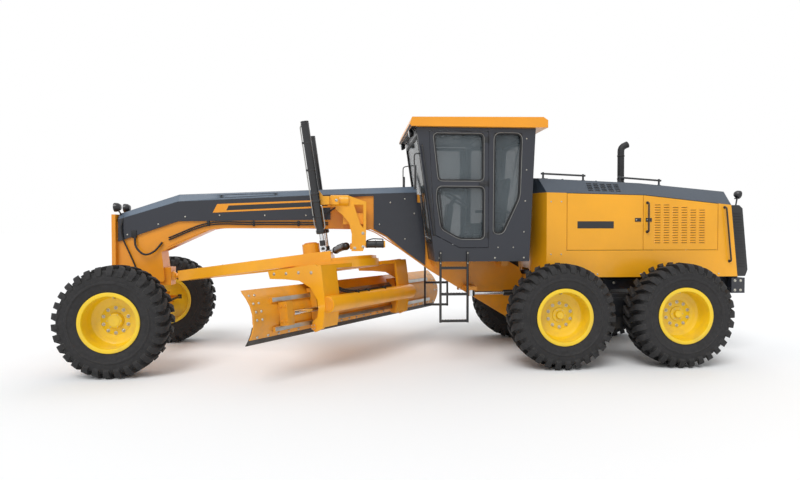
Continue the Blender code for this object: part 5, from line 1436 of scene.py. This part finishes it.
def lift_details():
    for name, side in SIDES:
        low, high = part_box(f"lift_{name}_barrel")
        body = f"lift_{name}_barrel_body"
        x_way, y_way = (-0.1411, -0.0284) if side > 0 else (-0.1369, -0.0177)
        down = Vector((x_way, y_way, -math.sqrt(1 - x_way**2 - y_way**2)))
        top = Vector((1.44, side * 0.62, 2.14))
        bands = Shape()
        for along, half, radius in ((-0.975, 0.004, 0.0535), (-0.945, 0.006, 0.0545), (-0.05, 0.02, 0.056), (0.05, 0.02, 0.056), (0.44, 0.026, 0.060), (0.464, 0.004, 0.052)):
            start = top + down * (along - half)
            bands.rod(start, top + down * (along + half), radius, 40)
        bands.piece(f"lift_bands_{name}", body, "black_enamel", "black_paint")
        pipe = Shape()
        out = Vector((0.066, side * 0.012, 0.0))
        pipe.tube([top + down * -0.93 + out * 0.7, top + down * -0.90 + out, top + down * 0.36 + out, top + down * 0.41 + out * 0.7], 0.0075, 12, 0.03)
        pipe.tube([top + down * 0.10 + Vector((-0.05, side * 0.03, 0)), top + down * 0.12 + Vector((-0.066, side * 0.04, 0)), top + down * 0.38 + Vector((-0.066, side * 0.04, 0)), top + down * 0.41 + Vector((-0.045, side * 0.03, 0))], 0.0075, 12, 0.03)
        pipe.piece(f"lift_pipes_{name}", body, "steel", "polished_steel")
        clamps = Shape()
        for along in (-0.70, -0.35, 0.25):
            clamps.rod(top + down * (along - 0.012), top + down * (along + 0.012), 0.0545, 32)
            clamps.block((-0.012, -0.014, -0.012), (0.012, 0.014, 0.012), 0.003, Matrix.Translation(top + down * along + out * 0.93))
        clamps.piece(f"lift_clamps_{name}", body, "black_enamel", "black_paint")
        eye = Vector((1.346, 0.601, 1.482)) if side > 0 else Vector((1.334, -0.634, 1.370))
        ends = Shape()
        ends.rod(eye - down * 0.11, eye - down * 0.038, 0.036, 32)
        ends.nut(eye + Vector((0, side * 0.034, 0)), (0, side, 0), 0.016, 0.012)
        ends.piece(f"lift_rod_end_{name}", f"lift_{name}_rod_body", "black_enamel", "dark_steel")
        hose = Shape()
        start = top + Vector((0.02, -side * 0.075, 0.045))
        hose.tube(curved([start, start + Vector((0.03, -side * 0.03, -0.10)), start + Vector((0.02, -side * 0.05, -0.26)), start + Vector((-0.06, -side * 0.08, -0.33)), start + Vector((-0.16, -side * 0.11, -0.24)), (1.20, side * 0.385, 2.02)], 10), 0.011, 12)
        hose.piece(f"lift_hose_{name}", FRONT, "hose", "black_paint")
    lock = Shape()
    lock.rod((0.79, 0.30, 1.53), (0.545, 0.30, 1.53), 0.0475, 36)
    for x in (0.775, 0.66, 0.56):
        lock.rod((x - 0.012, 0.30, 1.53), (x + 0.012, 0.30, 1.53), 0.052, 36)
    lock.tube([(0.56, 0.30, 1.578), (0.56, 0.30, 1.60), (0.70, 0.30, 1.605), (0.78, 0.30, 1.58)], 0.008, 12, 0.02)
    lock.piece("lock_cylinder", FRONT, "black_enamel", "black_paint")
    along = Vector((0.344, -0.926, -0.156))
    start = Vector((1.06, 0.20, 1.50))
    shift = Shape()
    for at, half, radius in ((0.06, 0.006, 0.048), (0.42, 0.022, 0.053), (0.446, 0.004, 0.046)):
        shift.rod(start + along * (at - half), start + along * (at + half), radius, 36)
    shift.tube([start + along * 0.10 + Vector((0, 0, 0.045)), start + along * 0.12 + Vector((0, 0, 0.058)), start + along * 0.37 + Vector((0, 0, 0.058)), start + along * 0.40 + Vector((0, 0, 0.045))], 0.008, 12, 0.02)
    shift.piece("centre_shift_fittings", "centre_shift_barrel_body", "black_enamel", "black_paint")


boom_details()
lift_details()

# ---- Drawbar, circle and blade -------------------------------------------------------------------------

DRAWBAR_FRAME = (
    Matrix.Translation((1.30, 0.0, 1.25))
    @ Matrix.Rotation(math.radians(6.4), 4, "Y")
    @ Matrix.Rotation(math.radians(5.2), 4, "X")
)
BLADE_FRAME = DRAWBAR_FRAME @ Matrix.Rotation(math.radians(-35.3), 4, "Z")
BLADE_ENDS = (-2.355, 1.915)
EDGE_LOW, BLADE_HIGH = -0.849, -0.24


def blade_face(height):
    """How far back the moldboard bows at a height, in the blade's own frame."""
    share = (height - (EDGE_LOW + BLADE_HIGH) / 2) / ((BLADE_HIGH - EDGE_LOW) / 2)
    return -0.243 - 0.15 * (1 - share * share)


def local_nut(shape, where, place, way, radius, height):
    shape.nut(where @ Vector(place), where.to_3x3() @ Vector(way), radius, height)


def blade_details():
    # Plough bolts along the cutting edge, front and back
    bolts = Shape()
    for z in (-0.765, -0.715):
        for at in range(25):
            y = BLADE_ENDS[0] + 0.09 + at * (BLADE_ENDS[1] - BLADE_ENDS[0] - 0.18) / 24
            bolts.rod(
                BLADE_FRAME @ Vector((blade_face(z) + 0.013, y, z)),
                BLADE_FRAME @ Vector((blade_face(z) + 0.0165, y, z)),
                0.013,
                14,
            )
            if abs(abs(y) - 0.91) > 0.09 and z < -0.75:
                local_nut(bolts, BLADE_FRAME, (blade_face(z) - 0.0195, y, z), (-1, 0, 0), 0.013, 0.012)
    bolts.piece("edge_bolts", "blade", "zinc", "polished_steel")
    # End bits: a wear plate bolted inside each end of the moldboard
    bits = Shape()
    for end, way in ((BLADE_ENDS[0], 1), (BLADE_ENDS[1], -1)):
        outline = [(blade_face(z) + 0.0005, z) for z in (-0.62, -0.52, -0.42, -0.33, -0.26)]
        outline += [(x + 0.010, z) for x, z in reversed(outline)]
        bits.prism(outline, end + way * 0.001, end + way * 0.16, where=BLADE_FRAME)
    bits.piece("end_plates", "blade", "blade_yellow", "yellow_paint")
    studs = Shape()
    for end, way in ((BLADE_ENDS[0], 1), (BLADE_ENDS[1], -1)):
        for z in (-0.58, -0.49, -0.40, -0.31):
            for inset in (0.04, 0.12):
                y = end + way * inset
                studs.rod(
                    BLADE_FRAME @ Vector((blade_face(z) + 0.009, y, z)),
                    BLADE_FRAME @ Vector((blade_face(z) + 0.014, y, z)),
                    0.011,
                    14,
                )
                local_nut(studs, BLADE_FRAME, (blade_face(z) - 0.0195, y, z), (-1, 0, 0), 0.011, 0.010)
    studs.piece("end_plate_bolts", "blade", "zinc", "polished_steel")
    # Bright wear faces on the slide rails and the side-shift ram
    slides = Shape()
    for z in (-0.385, -0.715):
        slides.block((-0.4062, BLADE_ENDS[0] + 0.31, z - 0.024), (-0.4035, BLADE_ENDS[1] - 0.31, z + 0.024), 0.0008, BLADE_FRAME)
    slides.piece("slide_faces", "blade", "steel", "polished_steel")
    ram = Shape()
    ram.rod(BLADE_FRAME @ Vector((-0.475, 0.90, -0.56)), BLADE_FRAME @ Vector((-0.475, 1.42, -0.56)), 0.0303, 40)
    ram.piece("side_shift_ram", "blade", "chrome", "polished_steel")
    boss = Shape()
    boss.rod(BLADE_FRAME @ Vector((-0.475, 1.385, -0.56)), BLADE_FRAME @ Vector((-0.475, 1.42, -0.56)), 0.052, 32)
    for dx, dz in ((-0.03, 0.085), (0.03, 0.085), (-0.03, -0.085), (0.03, -0.085)):
        local_nut(boss, BLADE_FRAME, (-0.475 + dx, 1.52, -0.555 + dz), (0, 1, 0), 0.013, 0.011)
    boss.piece("ram_bracket_boss", "blade", "frame_yellow", "yellow_paint")
    # Carrier: bolts of the clamp caps
    clamps = Shape()
    for side in (1, -1):
        for z in (-0.34, -0.44, -0.66, -0.76):
            local_nut(clamps, BLADE_FRAME, (-0.5005 if z > -0.7 else -0.497, side * 0.905, z), (-1, 0, 0), 0.014, 0.012)
    clamps.piece("carrier_bolts", "blade_carrier_body", "zinc", "polished_steel")
    # Arms: stiffening ribs, bolt rows and the hoses clamped along the back tube
    ribs = Shape()
    for side in (1, -1):
        for z in (-0.16, -0.40):
            ribs.prism([(-0.625, z + 0.02), (-0.590, z + 0.02), (-0.575, z - 0.06), (-0.625, z - 0.10)], side * 0.760, side * 0.772, where=BLADE_FRAME)
        ribs.rod(BLADE_FRAME @ Vector((-0.45, side * 0.998, -0.77)), BLADE_FRAME @ Vector((-0.45, side * 1.012, -0.77)), 0.040, 32)
        ribs.rod(BLADE_FRAME @ Vector((-0.68, side * 0.975, -0.52)), BLADE_FRAME @ Vector((-0.68, side * 0.990, -0.52)), 0.085, 40)
    ribs.piece("arm_ribs", "circle_body", "frame_yellow", "yellow_paint")
    arm_bolts = Shape()
    for side in (1, -1):
        for x, z in ((0.10, -0.075), (-0.10, -0.09), (-0.30, -0.10), (-0.50, -0.12)):
            local_nut(arm_bolts, BLADE_FRAME, (x, side * 1.0, z), (0, side, 0), 0.014, 0.012)
        for at in range(4):
            angle = math.pi * (at + 0.5) / 2
            local_nut(arm_bolts, BLADE_FRAME, (-0.45 + 0.027 * math.cos(angle), side * 1.011, -0.77 + 0.027 * math.sin(angle)), (0, side, 0), 0.005, 0.005)
    arm_bolts.piece("arm_bolts", "circle_body", "zinc", "polished_steel")
    hoses = Shape()
    for drop in (0.0, 0.026):
        points = [(-0.60, -0.60, -0.40 - drop), (-0.66, -0.45, -0.398 - drop), (-0.70, 0.0, -0.408 - drop), (-0.70, 0.40, -0.406 - drop), (-0.64, 0.66, -0.34 - drop), (-0.55, 0.70, -0.20 - drop), (-0.40, 0.66, -0.12 - drop)]
        hoses.tube([BLADE_FRAME @ p for p in curved(points, 8)], 0.011, 12)
    for y in (-0.25, 0.15, 0.38):
        hoses.block((-0.73, y - 0.014, -0.455), (-0.68, y + 0.014, -0.392), 0.004, BLADE_FRAME)
    hoses.piece("circle_hoses", "circle_body", "hose", "black_paint")
    # Circle teeth round the outside of the ring, kept inside its own depth
    teeth = Shape()
    for at in range(64):
        angle = 2 * math.pi * at / 64
        teeth.block((0.553, -0.016, -0.085), (0.5645, 0.016, -0.022), 0.004, BLADE_FRAME @ Matrix.Rotation(angle, 4, "Z"))
    teeth.piece("circle_teeth", "circle_body", "cast_iron", "dark_steel")
    # Drawbar: circle drive housing and shoe bolts
    drive = Shape()
    drive.turned([(0.0, 0.300), (0.095, 0.300), (0.095, 0.312), (0.075, 0.322), (0.0, 0.323)], DRAWBAR_FRAME @ Matrix.Translation((0.22, 0, 0)), 48)
    for at in range(8):
        angle = 2 * math.pi * at / 8
        local_nut(drive, DRAWBAR_FRAME, (0.22 + 0.108 * math.cos(angle), 0.108 * math.sin(angle), 0.2998), (0, 0, 1), 0.008, 0.008)
    drive.turned([(0.119, 0.145), (0.128, 0.145), (0.128, 0.16), (0.119, 0.16)], DRAWBAR_FRAME @ Matrix.Translation((0.22, 0, 0)), 48, closed=True)
    drive.piece("circle_drive_cover", "drawbar_body", "frame_yellow", "yellow_paint")
    shoes = Shape()
    for side in (1, -1):
        for x in (-0.04, 0.02):
            for y in (0.30, 0.50):
                local_nut(shoes, DRAWBAR_FRAME, (x, side * y, 0.1405), (0, 0, 1), 0.013, 0.011)
        for x in (0.6, 1.0, 1.4, 1.75):
            local_nut(shoes, DRAWBAR_FRAME, (x, side * (0.60 - 0.27 * x), 0.1405), (0, 0, 1), 0.009, 0.008)
    shoes.piece("drawbar_bolts", "drawbar_body", "zinc", "polished_steel")


blade_details()
